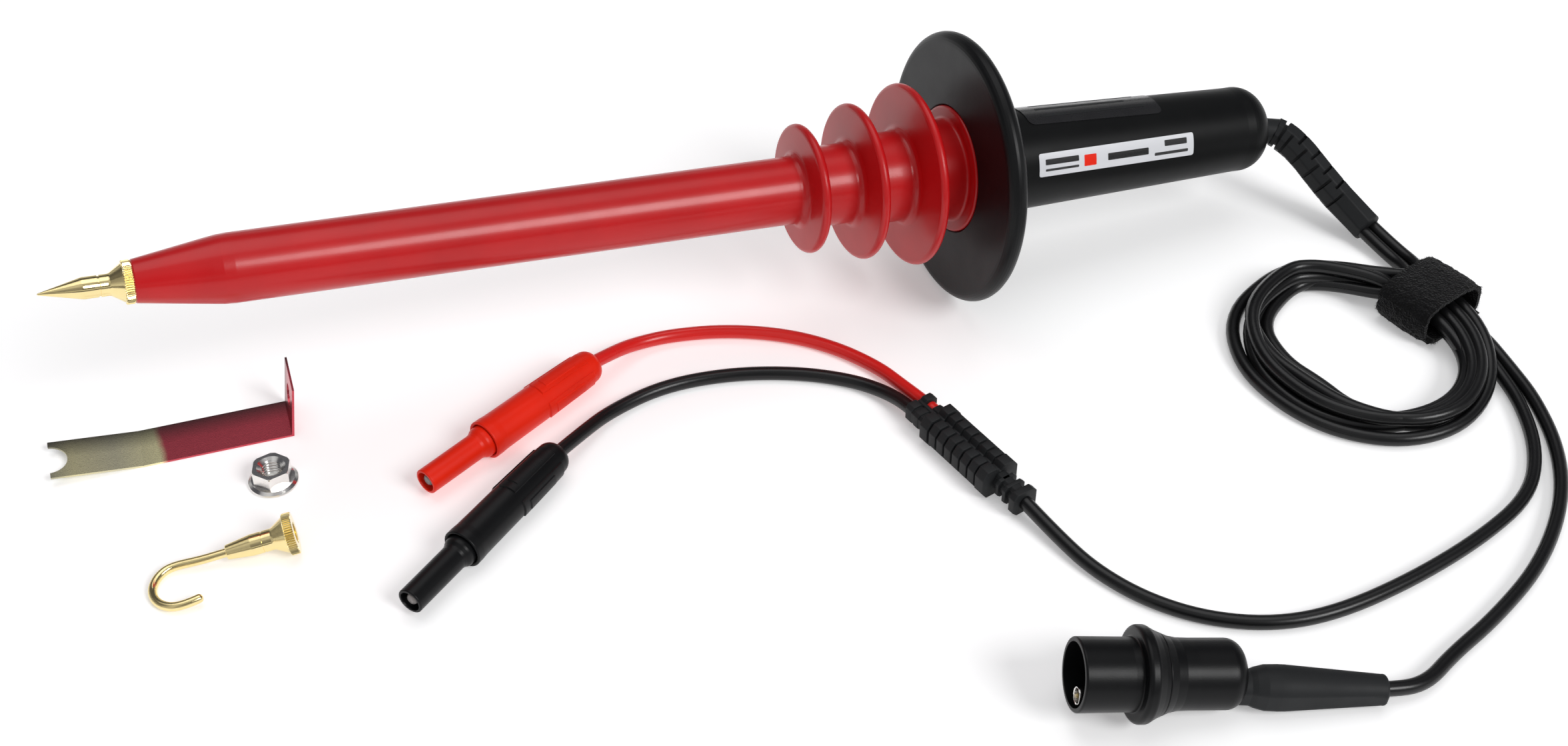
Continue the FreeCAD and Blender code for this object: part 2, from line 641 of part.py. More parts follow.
def make_coil_and_tie():
    """The outer shape of the loose coil, and the band that holds it."""
    coil = turned("cable_coil", [
        ("0", "coil_in / 2 + coil_round"),
        ("0", "coil_out / 2 - coil_round", RADIAL),
        ("coil_round", "coil_out / 2"),
        ("coil_high - coil_round", "coil_out / 2", ALONG),
        ("coil_high", "coil_out / 2 - coil_round"),
        ("coil_high", "coil_in / 2 + coil_round", RADIAL),
        ("coil_high - coil_round", "coil_in / 2"),
        ("coil_round", "coil_in / 2", ALONG),
    ])
    centre = Vector(value("coil_x"), value("coil_y"), 0)
    keep(coil, Placement(centre, Rotation(Vector(0, 1, 0), -90)))
    outer = box("tie_outer", "tie_deep", "tie_wide", "tie_high")
    inner = box("tie_inner", "tie_deep - 2 * tie_thick", "tie_wide + 2",
                "tie_high - 2 * tie_thick", at(value("tie_thick"), -1, value("tie_thick")))
    start = value("tie_from_coil - tie_deep / 2")
    turned_out = Placement(centre, Rotation(Vector(0, 0, 1), value("tie_turn")))
    keep(cut("cable_tie", outer, inner), turned_out * at(start, -value("tie_wide / 2"), 0))


# ---------------------------------------------------------------- splitter
def make_splitter():
    """A ribbed block that joins one cable to the two leads, with the splices inside it."""
    core_len = "split_core_end - split_core_start"
    pieces = [box("splitter_core", core_len, "split_core_wide", "split_core_high",
                  at(value("split_core_start"), -value("split_core_wide / 2"),
                     -value("split_core_high / 2")))]
    pieces.append(box("splitter_front", "split_core_start", "split_front_wide", "split_front_high",
                      at(0, -value("split_front_wide / 2"), -value("split_front_high / 2"))))
    pieces.append(cylinder("splitter_rear", "split_rear_dia", "split_len - split_core_end",
                           at(value("split_core_end"), 0, 0, LIES_ALONG_X)))
    first_rib = value(f"split_core_start + ({core_len} - 7 * rib_pitch - rib_wide) / 2")
    rib_side = value("split_core_wide / 2 + rib_stand")
    rib_top = value("split_core_high / 2 + rib_stand")
    for index in range(int(value("rib_count"))):
        place = at(first_rib + index * value("rib_pitch"), -rib_side, -rib_top)
        pieces.append(box(f"splitter_rib_{index + 1}", "rib_wide",
                          "split_core_wide + 2 * rib_stand", "split_core_high + 2 * rib_stand",
                          place))
    bores = []
    half_apart = value("splice_apart / 2")
    for name, side in (("splice_ground", -half_apart), ("splice_signal", half_apart)):
        bore_place = at(value("splice_start - seat_gap"), side, 0, LIES_ALONG_X)
        bores.append(cylinder(name + "_bore", "splice_dia + 2 * seat_gap",
                              "splice_len + 2 * seat_gap", bore_place))
        splice = cylinder(name, "splice_dia", "splice_len")
        keep(splice, splitter * at(value("splice_start"), side, 0, LIES_ALONG_X))
    block = cut("splitter_body", fused("splitter_block", pieces), fused("splice_bores", bores))
    keep(block, splitter)


# ---------------------------------------------------------------- 4 mm plugs
def make_plug(colour, place):
    """A 4 mm plug: pin, sliding sheath with its spring, and body."""
    sheath = turned(colour + "_sheath", [
        ("0", "sheath_bore / 2"), ("0", "sheath_dia / 2"),
        ("sheath_len", "sheath_dia / 2"), ("sheath_len", "sheath_bore / 2")])
    keep(sheath, place)
    cavity = "sheath_dia / 2 + slide_gap"
    body = turned(colour + "_plug_body", [
        ("plug_front", cavity),
        ("plug_front", "collar_dia / 2 - collar_round", RADIAL),
        ("plug_front + collar_round", "collar_dia / 2"),
        ("collar_end", "collar_dia / 2"),
        ("collar_end + collar_round", "plug_dia / 2"),
        ("plug_taper", "plug_dia / 2"),
        ("plug_len", "plug_tail_dia / 2"),
        ("plug_len", "0"),
        ("pin_tail + fit_gap", "0"),
        ("pin_tail + fit_gap", "pin_dia / 2 + fit_gap"),
        ("cavity_back", "pin_dia / 2 + fit_gap"),
        ("cavity_back", cavity),
    ])
    keep(body, place)
    pin = turned(colour + "_plug_pin", [
        ("pin_set + pin_cap_len", "0"), ("pin_set + pin_cap_len", "pin_dia / 2"),
        ("pin_tail", "pin_dia / 2"), ("pin_tail", "0")])
    keep(pin, place)
    cap = turned(colour + "_pin_cap", [
        ("pin_set", "0"), ("pin_set", "pin_dia / 2 - pin_set", RADIAL),
        ("pin_set * 2", "pin_dia / 2"),
        ("pin_set + pin_cap_len", "pin_dia / 2"), ("pin_set + pin_cap_len", "0")])
    keep(cap, place)
    spring = turned(colour + "_sheath_spring", [
        ("sheath_len + fit_gap", "sheath_bore / 2 + fit_gap"),
        ("sheath_len + fit_gap", "plug_spring_dia / 2"),
        ("cavity_back - fit_gap", "plug_spring_dia / 2"),
        ("cavity_back - fit_gap", "sheath_bore / 2 + fit_gap")])
    keep(spring, place)


# ---------------------------------------------------------------- coaxial connector
def make_connector():
    """A connector with a turning shroud; its metal contact and its boot sit off the axis."""
    ring_front = "ring_at - ring_thick / 2"
    ring_back = "ring_at + ring_thick / 2"
    shroud = turned("connector_shroud", [
        ("0", "shroud_bore / 2"),
        ("0", "shroud_dia / 2"),
        (ring_front, "shroud_dia / 2"),
        (ring_front, "ring_dia / 2 - ring_round", RADIAL),
        (f"{ring_front} + ring_round", "ring_dia / 2"),
        (f"{ring_back} - ring_round", "ring_dia / 2", ALONG),
        (ring_back, "ring_dia / 2 - ring_round"),
        (ring_back, "shroud_bore / 2"),
    ])
    keep(shroud, connector)
    nose = "shroud_bore / 2 - slide_gap"
    housing = turned("connector_housing_turned", [
        ("nose_start", "0"),
        ("nose_start", nose),
        ("housing_start", nose),
        ("housing_start", "housing_dia / 2"),
        ("housing_round", "housing_dia / 2", ALONG),
        ("housing_end", "housing_dia / 2 - housing_end + housing_round"),
        ("housing_end", "0"),
    ])
    off_axis = (Placement(Vector(), Rotation(Vector(1, 0, 0), value("contact_turn")))
                * at(0, 0, -value("contact_drop")))
    contact_hole = cylinder(
        "contact_hole", "contact_dia + 2 * fit_gap", "contact_end - nose_start + 4 + fit_gap",
        off_axis * at(value("nose_start - 4"), 0, 0, LIES_ALONG_X))
    pin_hole = cylinder(
        "centre_pin_hole", "centre_pin_dia + 2 * fit_gap", "centre_pin_end - contact_end + 1",
        off_axis * at(value("contact_end - 0.5"), 0, 0, LIES_ALONG_X))
    ferrule_hole = cylinder(
        "ferrule_hole", "ferrule_dia + 2 * fit_gap", "ferrule_end - ferrule_start + 2 * fit_gap",
        at(value("ferrule_start - fit_gap"), 0, 0, LIES_ALONG_X))
    boot_hole = cylinder(
        "boot_hole", "boot_neck_dia + 2 * fit_gap", "boot_belly",
        connector.inverse() * boot * at(-value("fit_gap"), 0, 0, LIES_ALONG_X))
    holes = fused("connector_holes", [contact_hole, pin_hole, ferrule_hole, boot_hole])
    keep(cut("connector_housing", housing, holes), connector)
    boot_body = turned("connector_boot", [
        ("0", "0"), ("0", "boot_neck_dia / 2"), ("boot_belly / 2", "boot_neck_dia / 2"),
        ("boot_belly", "boot_dia / 2"), ("boot_len", "boot_end_dia / 2"), ("boot_len", "0")])
    keep(boot_body, boot)
    low = connector * off_axis
    bore = "contact_dia / 2 - contact_wall"
    sleeve = turned("contact_sleeve", [
        ("contact_start", bore), ("contact_start", "contact_dia / 2"),
        ("contact_end", "contact_dia / 2"), ("contact_end", bore)])
    keep(sleeve, low)
    pin_bore = "centre_pin_dia / 2 + fit_gap"
    insulator = turned("contact_insulator", [
        ("insulator_start", pin_bore), ("insulator_start", f"{bore} - fit_gap"),
        ("insulator_end", f"{bore} - fit_gap"), ("insulator_end", pin_bore)])
    keep(insulator, low)
    pin = turned("centre_pin", [
        ("centre_pin_start", "0"), ("centre_pin_start", "centre_pin_dia / 2"),
        ("centre_pin_end", "centre_pin_dia / 2"), ("centre_pin_end", "0")])
    keep(pin, low)
    ferrule = turned("crimp_ferrule", [
        ("ferrule_start", "cable_dia / 2"), ("ferrule_start", "ferrule_dia / 2"),
        ("ferrule_end", "ferrule_dia / 2"), ("ferrule_end", "cable_dia / 2")])
    keep(ferrule, connector)


# ---------------------------------------------------------------- loose accessories
def make_hook():
    """A spare tip: a knurled base with a bent wire pressed into its nose."""
    thread = "stud_dia / 2 + slide_gap"
    wire_hole = "hook_wire_dia / 2 + fit_gap"
    wire_start = "hook_base_len - hook_wire_in"
    base = turned("hook_base", [
        ("0", thread),
        ("0", "knurl_dia / 2"),
        ("hook_knurl_end", "knurl_dia / 2"),
        ("hook_knurl_end", "flare_dia / 2"),
        ("hook_flare_end", "hook_shank_dia / 2"),
        ("hook_shank_end", "hook_shank_dia / 2"),
        ("hook_base_len", "hook_nose_dia / 2"),
        ("hook_base_len", wire_hole),
        (f"{wire_start} - fit_gap", wire_hole),
        (f"{wire_start} - fit_gap", "0"),
        ("hook_bore_len", "0"),
        ("hook_bore_len", thread),
    ])
    keep(base, hook)
    radius = value("hook_bend_radius")
    bend = value("hook_bend_at")
    start = Vector(value(wire_start), 0, 0)
    bend_start = Vector(bend, 0, 0)
    bend_far = Vector(bend + radius, radius, 0)
    bend_end = Vector(bend, 2 * radius, 0)
    end = bend_end - Vector(value("hook_return"), 0, 0)
    path = Part.Wire([
        Part.LineSegment(start, bend_start).toShape(),
        Part.Arc(bend_start, bend_far, bend_end).toShape(),
        Part.LineSegment(bend_end, end).toShape(),
    ])
    circle = Part.makeCircle(value("hook_wire_dia / 2"), start, Vector(1, 0, 0))
    feature = doc.addObject("Part::Feature", "hook_wire")
    feature.Shape = path.makePipeShell([Part.Wire([circle])], True, True)
    keep(feature, hook)


def make_contact_strip():
    """A bent metal strip with a forked end and a tab that goes on the stud."""
    outline = [
        ("0", "strip_lift"), ("strip_bend", "0"), ("strip_len", "0"),
        ("strip_len + tab_out", "tab_high"), ("strip_len + tab_out - strip_thick", "tab_high"),
        ("strip_len - strip_thick", "strip_thick"),
        ("strip_bend", "strip_thick"), ("0", "strip_lift + strip_thick")]
    body = doc.addObject("PartDesign::Body", "contact_strip_bent")
    sketch = origin_sketch(body, "contact_strip_side")
    draw_outline(sketch, outline)
    pad = body.newObject("PartDesign::Pad", "contact_strip_pad")
    pad.Profile = sketch
    pad.setExpression("Length", bound("strip_wide"))
    pad.Midplane = True
    body.Tip = pad
    tall = "4 * strip_lift"
    fork = cylinder("strip_fork", "fork_dia", tall,
                    at(-value("fork_out"), 0, -value("strip_lift")))
    hole_at = value("strip_len + tab_out * tab_hole_high / tab_high - 3 * strip_thick")
    hole = cylinder("strip_hole", "tab_hole_dia", "5 * strip_thick",
                    at(hole_at, 0, value("tab_hole_high"), LIES_ALONG_X))
    keep(cut("contact_strip", body, fused("strip_cuts", [fork, hole])), strip)


def make_flange_nut():
    """A hexagon nut on a round flange, lying flange down."""
    hexagon = doc.addObject("Part::Prism", "nut_hexagon")
    hexagon.Polygon = 6
    bind(hexagon, Circumradius="nut_flats / sqrt(3)", Height="nut_high")
    flange = cylinder("nut_flange", "nut_flange_dia", "nut_flange_high")
    slope = cone("nut_slope", "nut_flange_dia / 2", "nut_flats / 2", "nut_flange_high",
                 at(0, 0, value("nut_flange_high")))
    bore = cylinder("nut_bore_hole", "nut_bore", "nut_high + 2", at(0, 0, -1))
    nut = cut("flange_nut", fused("nut_blank", [hexagon, flange, slope]), bore)
    keep(nut, at(*NUT_CENTRE))


# ---------------------------------------------------------------- build, check and write
make_tip()
make_barrel()
make_guard()
make_handle()
make_label("name_label", "plate_start", "plate_len", "plate_high", "plate_turn")
make_label("film_label", "film_start", "film_len", "film_high", "film_turn")
make_divider()
make_low_side()
make_strain_relief()
make_cables()
make_coil_and_tie()
make_splitter()
make_plug("red", red_plug)
make_plug("black", black_plug)
make_connector()
make_hook()
make_contact_strip()
make_flange_nut()
doc.recompute()

for thing in doc.Objects:
    if "Invalid" in thing.State or "Error" in thing.State:
        raise ValueError(f"{thing.Label} failed: {thing.State}")
for thing in subparts:
    if thing.Shape.isNull() or not thing.Shape.isValid() or not thing.Shape.Solids:
        raise ValueError(f"{thing.Label} has no valid solid")

os.makedirs("parts", exist_ok=True)
for thing in subparts:
    thing.Shape.exportStep(os.path.join("parts", thing.Label + ".step"))
    low = thing.Shape.optimalBoundingBox().ZMin
    print(f"{thing.Label}: volume {thing.Shape.Volume:.1f}, lowest point {low:.2f}")
print(len(subparts), "sub-parts written")
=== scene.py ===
"""Visual model of the high-voltage oscilloscope probe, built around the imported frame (metres)."""

import json
import math
import random

import bmesh
import bpy
from mathutils import Matrix, Vector, noise


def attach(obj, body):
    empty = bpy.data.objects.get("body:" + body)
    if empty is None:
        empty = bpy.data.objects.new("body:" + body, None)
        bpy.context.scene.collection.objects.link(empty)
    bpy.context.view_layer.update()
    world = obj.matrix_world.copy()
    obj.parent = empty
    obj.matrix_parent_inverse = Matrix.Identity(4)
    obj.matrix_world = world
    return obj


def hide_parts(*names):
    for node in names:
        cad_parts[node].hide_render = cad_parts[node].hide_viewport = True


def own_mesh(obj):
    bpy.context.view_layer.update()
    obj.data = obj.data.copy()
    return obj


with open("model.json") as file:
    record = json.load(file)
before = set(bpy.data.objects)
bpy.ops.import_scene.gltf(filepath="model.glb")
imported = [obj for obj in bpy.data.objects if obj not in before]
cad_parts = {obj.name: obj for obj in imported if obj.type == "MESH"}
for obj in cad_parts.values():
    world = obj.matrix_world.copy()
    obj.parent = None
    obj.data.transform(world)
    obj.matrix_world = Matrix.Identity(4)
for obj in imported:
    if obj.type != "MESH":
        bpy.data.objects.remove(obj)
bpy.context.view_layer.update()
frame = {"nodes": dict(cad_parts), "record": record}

MM = 0.001
SEGMENTS = 96


# ---------------------------------------------------------------- places of the assemblies
def heading(base, yaw, dip=0.0):
    """A local frame whose X axis points yaw degrees from +X and dips by dip degrees; base in mm."""
    turn = Matrix.Rotation(math.radians(yaw), 4, "Z") @ Matrix.Rotation(math.radians(dip), 4, "Y")
    return Matrix.Translation(Vector(base) * MM) @ turn


# The probe's axis dips towards its handle; the guard's rounded rim rests on the floor.
PROBE_DIP = 7.02
GUARD_STATION = 265.0
GUARD_RADIUS = 37.7
GUARD_RIM = 3.0
TILT = math.radians(PROBE_DIP)
GUARD = Vector((GUARD_RADIUS * math.sin(TILT), 0, GUARD_RADIUS * math.cos(TILT) + GUARD_RIM))
ALONG = Vector((math.cos(TILT), 0, -math.sin(TILT)))
PROBE = heading(GUARD - ALONG * GUARD_STATION, 0, PROBE_DIP)
CONNECTOR = heading((-42.6, -171.2, 15.35), -14.0, 8.8)
BOOT = heading((-3.7, -183.8, 7.25), -19.5, 4.5)
BOOT_LENGTH = 40.1
SPLITTER = heading((-32.5, -57.2, 4.95), -76.8)
SPLITTER_LENGTH = 47.8
# The hook lies on the inner edge of its knurled knob and on the bend of its wire.
HOOK_DIP = 7.1
KNOB_RADIUS = 5.85
KNOB_EDGE = 2.5
KNOB_HEIGHT = (KNOB_RADIUS * math.cos(math.radians(HOOK_DIP))
               + KNOB_EDGE * math.sin(math.radians(HOOK_DIP)))
HOOK = heading((-210.4, -41.4, KNOB_HEIGHT), 174.3, HOOK_DIP)
NUT = Matrix.Translation(Vector((-211.2, -13.4, 0)) * MM)
COIL_CENTRE = Vector((99.0, -83.5, 0))
PLUG_LENGTH = 66.5
PLUG_HEIGHT = 6.2
RED_YAW = 27.0
BLACK_YAW = 36.4


def plug_place(rear, yaw):
    """A plug's frame, at its mouth, from the (x, y) place of its rear end."""
    turn = math.radians(yaw)
    return heading((rear[0] - PLUG_LENGTH * math.cos(turn),
                    rear[1] - PLUG_LENGTH * math.sin(turn), PLUG_HEIGHT), yaw)


RED_PLUG = plug_place((-113.5, -5.7), RED_YAW)
BLACK_PLUG = plug_place((-134.7, -38.1), BLACK_YAW)


def metres(point):
    return tuple(Vector(point) * MM)


def local(place, *point):
    """A point of a local frame (mm), given in the part's frame (mm)."""
    return tuple(place @ (Vector(point) * MM) / MM)


# ---------------------------------------------------------------- materials
def nodes_of(material):
    material.use_nodes = True
    tree = material.node_tree
    return tree, tree.nodes["Principled BSDF"]


def add(tree, kind, **inputs):
    node = tree.nodes.new(kind)
    for name, number in inputs.items():
        node.inputs[name].default_value = number
    return node


def noise_node(tree, coords, scale, detail=4.0, roughness=0.55):
    texture = add(tree, "ShaderNodeTexNoise", Scale=scale, Detail=detail, Roughness=roughness)
    tree.links.new(coords, texture.inputs["Vector"])
    return texture.outputs["Fac"]


def ramp(tree, factor, stops):
    """Colours or greys at (position, colour) stops along a factor."""
    node = tree.nodes.new("ShaderNodeValToRGB")
    while len(node.color_ramp.elements) < len(stops):
        node.color_ramp.elements.new(0.5)
    for element, (position, colour) in zip(node.color_ramp.elements, stops):
        element.position = position
        element.color = (*colour, 1.0)
    tree.links.new(factor, node.inputs["Fac"])
    return node.outputs["Color"]


def spread(tree, factor, low, high, start=0.0, end=1.0):
    """The factor's range from start to end, mapped to low and high."""
    node = tree.nodes.new("ShaderNodeMapRange")
    node.inputs["From Min"].default_value = start
    node.inputs["From Max"].default_value = end
    node.inputs["To Min"].default_value = low
    node.inputs["To Max"].default_value = high
    tree.links.new(factor, node.inputs["Value"])
    return node.outputs["Result"]


def bump(tree, shader, height, distance, strength, below=None):
    """A bump (distance in metres) on top of the one below, if any."""
    node = add(tree, "ShaderNodeBump", Strength=strength, Distance=distance)
    tree.links.new(height, node.inputs["Height"])
    if below is not None:
        tree.links.new(below, node.inputs["Normal"])
    tree.links.new(node.outputs["Normal"], shader.inputs["Normal"])
    return node.outputs["Normal"]


GRAIN_DEPTH = 0.00002


def shade(colour, factor):
    return tuple(min(1.0, channel * factor) for channel in colour)


def moulded(name, colour, roughness, variation=0.12, coat=0.0, grain=2600.0, specular=0.5):
    """Moulded plastic or rubber: fine grain, soft clouding of tone and wiped patches of gloss."""
    material = bpy.data.materials.new(name)
    tree, shader = nodes_of(material)
    coords = tree.nodes.new("ShaderNodeTexCoord").outputs["Object"]
    cloud = noise_node(tree, coords, 45.0)
    tree.links.new(ramp(tree, cloud, [(0.3, shade(colour, 1 - variation)),
                                      (0.7, shade(colour, 1 + variation))]),
                   shader.inputs["Base Color"])
    wiped = noise_node(tree, coords, 130.0, 3.0)
    tree.links.new(spread(tree, wiped, roughness * 0.85, roughness * 1.2),
                   shader.inputs["Roughness"])
    shader.inputs["Specular IOR Level"].default_value = specular
    shader.inputs["Coat Weight"].default_value = coat
    shader.inputs["Coat Roughness"].default_value = 0.12
    bump(tree, shader, noise_node(tree, coords, grain, 2.0), GRAIN_DEPTH, 0.6)
    return material


def metal(name, colour, roughness, turning=0.0, variation=0.1):
    """Plated or bright metal; turning adds fine lathe lines along the local X axis."""
    material = bpy.data.materials.new(name)
    tree, shader = nodes_of(material)
    coords = tree.nodes.new("ShaderNodeTexCoord").outputs["Object"]
    cloud = noise_node(tree, coords, 160.0)
    tree.links.new(ramp(tree, cloud, [(0.3, shade(colour, 1 - variation)),
                                      (0.7, shade(colour, 1 + variation * 0.6))]),
                   shader.inputs["Base Color"])
    shader.inputs["Metallic"].default_value = 1.0
    tree.links.new(spread(tree, noise_node(tree, coords, 420.0), roughness * 0.75,
                          roughness * 1.35), shader.inputs["Roughness"])
    below = bump(tree, shader, noise_node(tree, coords, 1800.0, 2.0), 0.00001, 0.5)
    if turning:
        wave = add(tree, "ShaderNodeTexWave", Scale=turning)
        wave.inputs["Distortion"].default_value = 0.4
        wave.bands_direction = "X"
        tree.links.new(coords, wave.inputs["Vector"])
        bump(tree, shader, wave.outputs["Fac"], 0.000012, 0.5, below)
    return material


def cloth(name, colour):
    """Hook and loop band: matted loops, dark, with a dusty sheen."""
    material = bpy.data.materials.new(name)
    tree, shader = nodes_of(material)
    coords = tree.nodes.new("ShaderNodeTexCoord").outputs["Object"]
    loops = add(tree, "ShaderNodeTexVoronoi", Scale=1500.0, Randomness=1.0)
    tree.links.new(coords, loops.inputs["Vector"])
    tree.links.new(ramp(tree, loops.outputs["Distance"],
                        [(0.1, shade(colour, 1.7)), (0.6, shade(colour, 0.5))]),
                   shader.inputs["Base Color"])
    shader.inputs["Roughness"].default_value = 0.95
    shader.inputs["Specular IOR Level"].default_value = 0.15
    shader.inputs["Sheen Weight"].default_value = 0.12
    shader.inputs["Sheen Roughness"].default_value = 0.5
    below = bump(tree, shader, loops.outputs["Distance"], 0.0004, 0.9)
    bump(tree, shader, noise_node(tree, coords, 700.0), 0.0005, 0.8, below)
    return material


def translucent(name, colour):
    """Milky plastic that lets the colour behind it through."""
    material = moulded(name, colour, 0.3, 0.08)
    shader = material.node_tree.nodes["Principled BSDF"]
    shader.inputs["Transmission Weight"].default_value = 0.75
    shader.inputs["IOR"].default_value = 1.35
    return material


# The strip's ends along X, its turn about Z, and its middle line's distance across, in metres.
STRIP_FORK_X = -0.2685
STRIP_TAB_X = -0.2025
STRIP_YAW = math.radians(-4.3)
STRIP_HALF_WIDTH = 0.0075
STRIP_MIDDLE = 0.0153 * math.cos(STRIP_YAW) - STRIP_FORK_X * math.sin(STRIP_YAW)


def reflection_painted_steel(name):
    """Polished strip with light painted into its colour: painted reflections, dull gold at the fork
    and dark red (the red barrel) towards the tab, and painted shade on the far side.
    """
    material = bpy.data.materials.new(name)
    tree, shader = nodes_of(material)
    coords = tree.nodes.new("ShaderNodeTexCoord").outputs["Object"]
    along = tree.nodes.new("ShaderNodeSeparateXYZ")
    tree.links.new(coords, along.inputs[0])
    sway = tree.nodes.new("ShaderNodeMath")
    sway.operation = "MULTIPLY_ADD"
    sway.inputs[1].default_value = 0.004
    tree.links.new(noise_node(tree, coords, 60.0), sway.inputs[0])
    tree.links.new(along.outputs["X"], sway.inputs[2])
    share = spread(tree, sway.outputs[0], 0.0, 1.0, STRIP_FORK_X, STRIP_TAB_X)
    # painted reflections: gold bands and the red barrel's reflection painted into the colour along
    # the strip
    painted_reflection = ramp(tree, share, [
        (0.0, (0.34, 0.33, 0.27)), (0.12, (0.72, 0.66, 0.40)), (0.3, (0.66, 0.62, 0.44)),
        (0.48, (0.95, 0.88, 0.52)), (0.51, (0.58, 0.09, 0.12)), (0.97, (0.62, 0.09, 0.12))])
    # painted shade: the far half of the strip is darkened towards near black
    across = tree.nodes.new("ShaderNodeVectorMath")
    across.operation = "DOT_PRODUCT"
    across.inputs[1].default_value = (-math.sin(STRIP_YAW), math.cos(STRIP_YAW), 0)
    tree.links.new(coords, across.inputs[0])
    far_side_painted_shade = spread(tree, across.outputs["Value"], 0.0, 0.85, STRIP_MIDDLE,
                      STRIP_MIDDLE + STRIP_HALF_WIDTH)
    darkened = tree.nodes.new("ShaderNodeMix")
    darkened.data_type = "RGBA"
    darkened.inputs["B"].default_value = (0.05, 0.05, 0.05, 1)
    tree.links.new(far_side_painted_shade, darkened.inputs["Factor"])
    tree.links.new(painted_reflection, darkened.inputs["A"])
    tree.links.new(darkened.outputs["Result"], shader.inputs["Base Color"])
    shader.inputs["Metallic"].default_value = 1.0
    scratches = add(tree, "ShaderNodeTexWave", Scale=900.0, Distortion=9.0)
    scratches.bands_direction = "Y"
    tree.links.new(coords, scratches.inputs["Vector"])
    tree.links.new(spread(tree, scratches.outputs["Fac"], 0.24, 0.32), shader.inputs["Roughness"])
    bump(tree, shader, scratches.outputs["Fac"], 0.000004, 0.4)
    return material


MATERIALS = {
    "gold_plate": metal("gold_plate", (0.92, 0.76, 0.38), 0.09, 2600.0, 0.04),
    "red_barrel": moulded("red_barrel", (0.50, 0.005, 0.007), 0.3, 0.07, 0.1,
                         specular=0.35),
    "black_guard": moulded("black_guard", (0.004, 0.0042, 0.0048), 0.36, 0.12, specular=0.2),
    "black_handle": moulded("black_handle", (0.0032, 0.0035, 0.0038), 0.4, 0.12, specular=0.14),
    "white_label": moulded("white_label", (0.70, 0.71, 0.74), 0.3, 0.03, 0.2),
    "dark_film": moulded("dark_film", (0.010, 0.010, 0.011), 0.26, 0.1, 0.2),
    "glazed_ceramic": moulded("glazed_ceramic", (0.76, 0.74, 0.68), 0.15, 0.05, 0.6),
    "small_brass": metal("small_brass", (0.78, 0.60, 0.30), 0.28, 1800.0),
    "spring_steel": metal("spring_steel", (0.60, 0.60, 0.62), 0.25, 900.0),
    "clear_plastic": moulded("clear_plastic", (0.74, 0.74, 0.70), 0.35),
    "copper_wire": metal("copper_wire", (0.86, 0.50, 0.34), 0.22),
    "circuit_laminate": moulded("circuit_laminate", (0.01, 0.12, 0.04), 0.3, 0.15, 0.4),
    "component_body": moulded("component_body", (0.05, 0.10, 0.26), 0.4),
    "black_cable": moulded("black_cable", (0.005, 0.0051, 0.0055), 0.28, 0.15, 0.0, 1800.0,
                           specular=0.36),
    "black_rubber": moulded("black_rubber", (0.0115, 0.0125, 0.0135), 0.55, 0.15, specular=0.25),
    "red_cable": moulded("red_cable", (0.70, 0.016, 0.013), 0.28, 0.06, 0.1, 1800.0,
                         specular=0.4),
    "black_fabric": cloth("black_fabric", (0.0045, 0.0045, 0.005)),
    "red_plastic": moulded("red_plastic", (0.80, 0.018, 0.003), 0.36, 0.07, specular=0.22),
    "black_plastic": moulded("black_plastic", (0.0035, 0.0037, 0.0042), 0.34, 0.12,
                            specular=0.18),
    "frosted_cap": translucent("frosted_cap", (0.40, 0.37, 0.36)),
    "white_insulator": moulded("white_insulator", (0.80, 0.79, 0.75), 0.4),
    "bright_nickel": metal("bright_nickel", (0.86, 0.84, 0.81), 0.12, 2200.0),
    # painted reflections and painted shade are in this strip's colour
    "plated_steel": reflection_painted_steel("plated_steel"),
}
SLOT_OF = {part["node"]: part["material_slot"] for part in frame["record"]["subparts"]}
for node_name, node_object in frame["nodes"].items():
    node_object.data.materials.clear()
    node_object.data.materials.append(MATERIALS[SLOT_OF[node_name]])


# ---------------------------------------------------------------- mesh helpers
def bevelled(piece, width, turn):
    """Rounds the edges that turn by more than an angle (degrees)."""
    rounding = piece.modifiers.new("bevel", "BEVEL")
    rounding.width = width * MM
    rounding.segments = 3
    rounding.limit_method = "ANGLE"
    rounding.angle_limit = math.radians(turn)
    rounding.use_clamp_overlap = True
    bpy.context.view_layer.update()
    graph = bpy.context.evaluated_depsgraph_get()
    mesh = bpy.data.meshes.new_from_object(piece.evaluated_get(graph))
    piece.modifiers.clear()
    piece.data = mesh


def make(name, verts, faces, place, body, slot, *nodes, smooth=40.0, bevel=0.0, bevel_turn=35.0):
    """A piece from vertices in mm of a local frame, riding on a body and standing for nodes."""
    mesh = bpy.data.meshes.new(name)
    mesh.from_pydata([tuple(Vector(v) * MM) for v in verts], [], faces)
    work = bmesh.new()
    work.from_mesh(mesh)
    bmesh.ops.remove_doubles(work, verts=work.verts, dist=1e-7)
    bmesh.ops.recalc_face_normals(work, faces=work.faces)
    work.to_mesh(mesh)
    work.free()
    piece = bpy.data.objects.new(name, mesh)
    bpy.context.collection.objects.link(piece)
    piece.matrix_world = place
    mesh.materials.append(MATERIALS[slot])
    mesh.shade_smooth()
    if bevel:
        bevelled(piece, bevel, bevel_turn)
    piece.data.set_sharp_from_angle(angle=math.radians(smooth))
    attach(piece, body)
    if nodes:
        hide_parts(*nodes)
    return piece


def arc(centre, radius, start, end, steps=6):
    """Profile points on an arc, degrees measured from the +along direction towards +radial."""
    points = []
    for step in range(steps + 1):
        angle = math.radians(start + (end - start) * step / steps)
        points.append((centre[0] + radius * math.cos(angle), centre[1] + radius * math.sin(angle)))
    return points


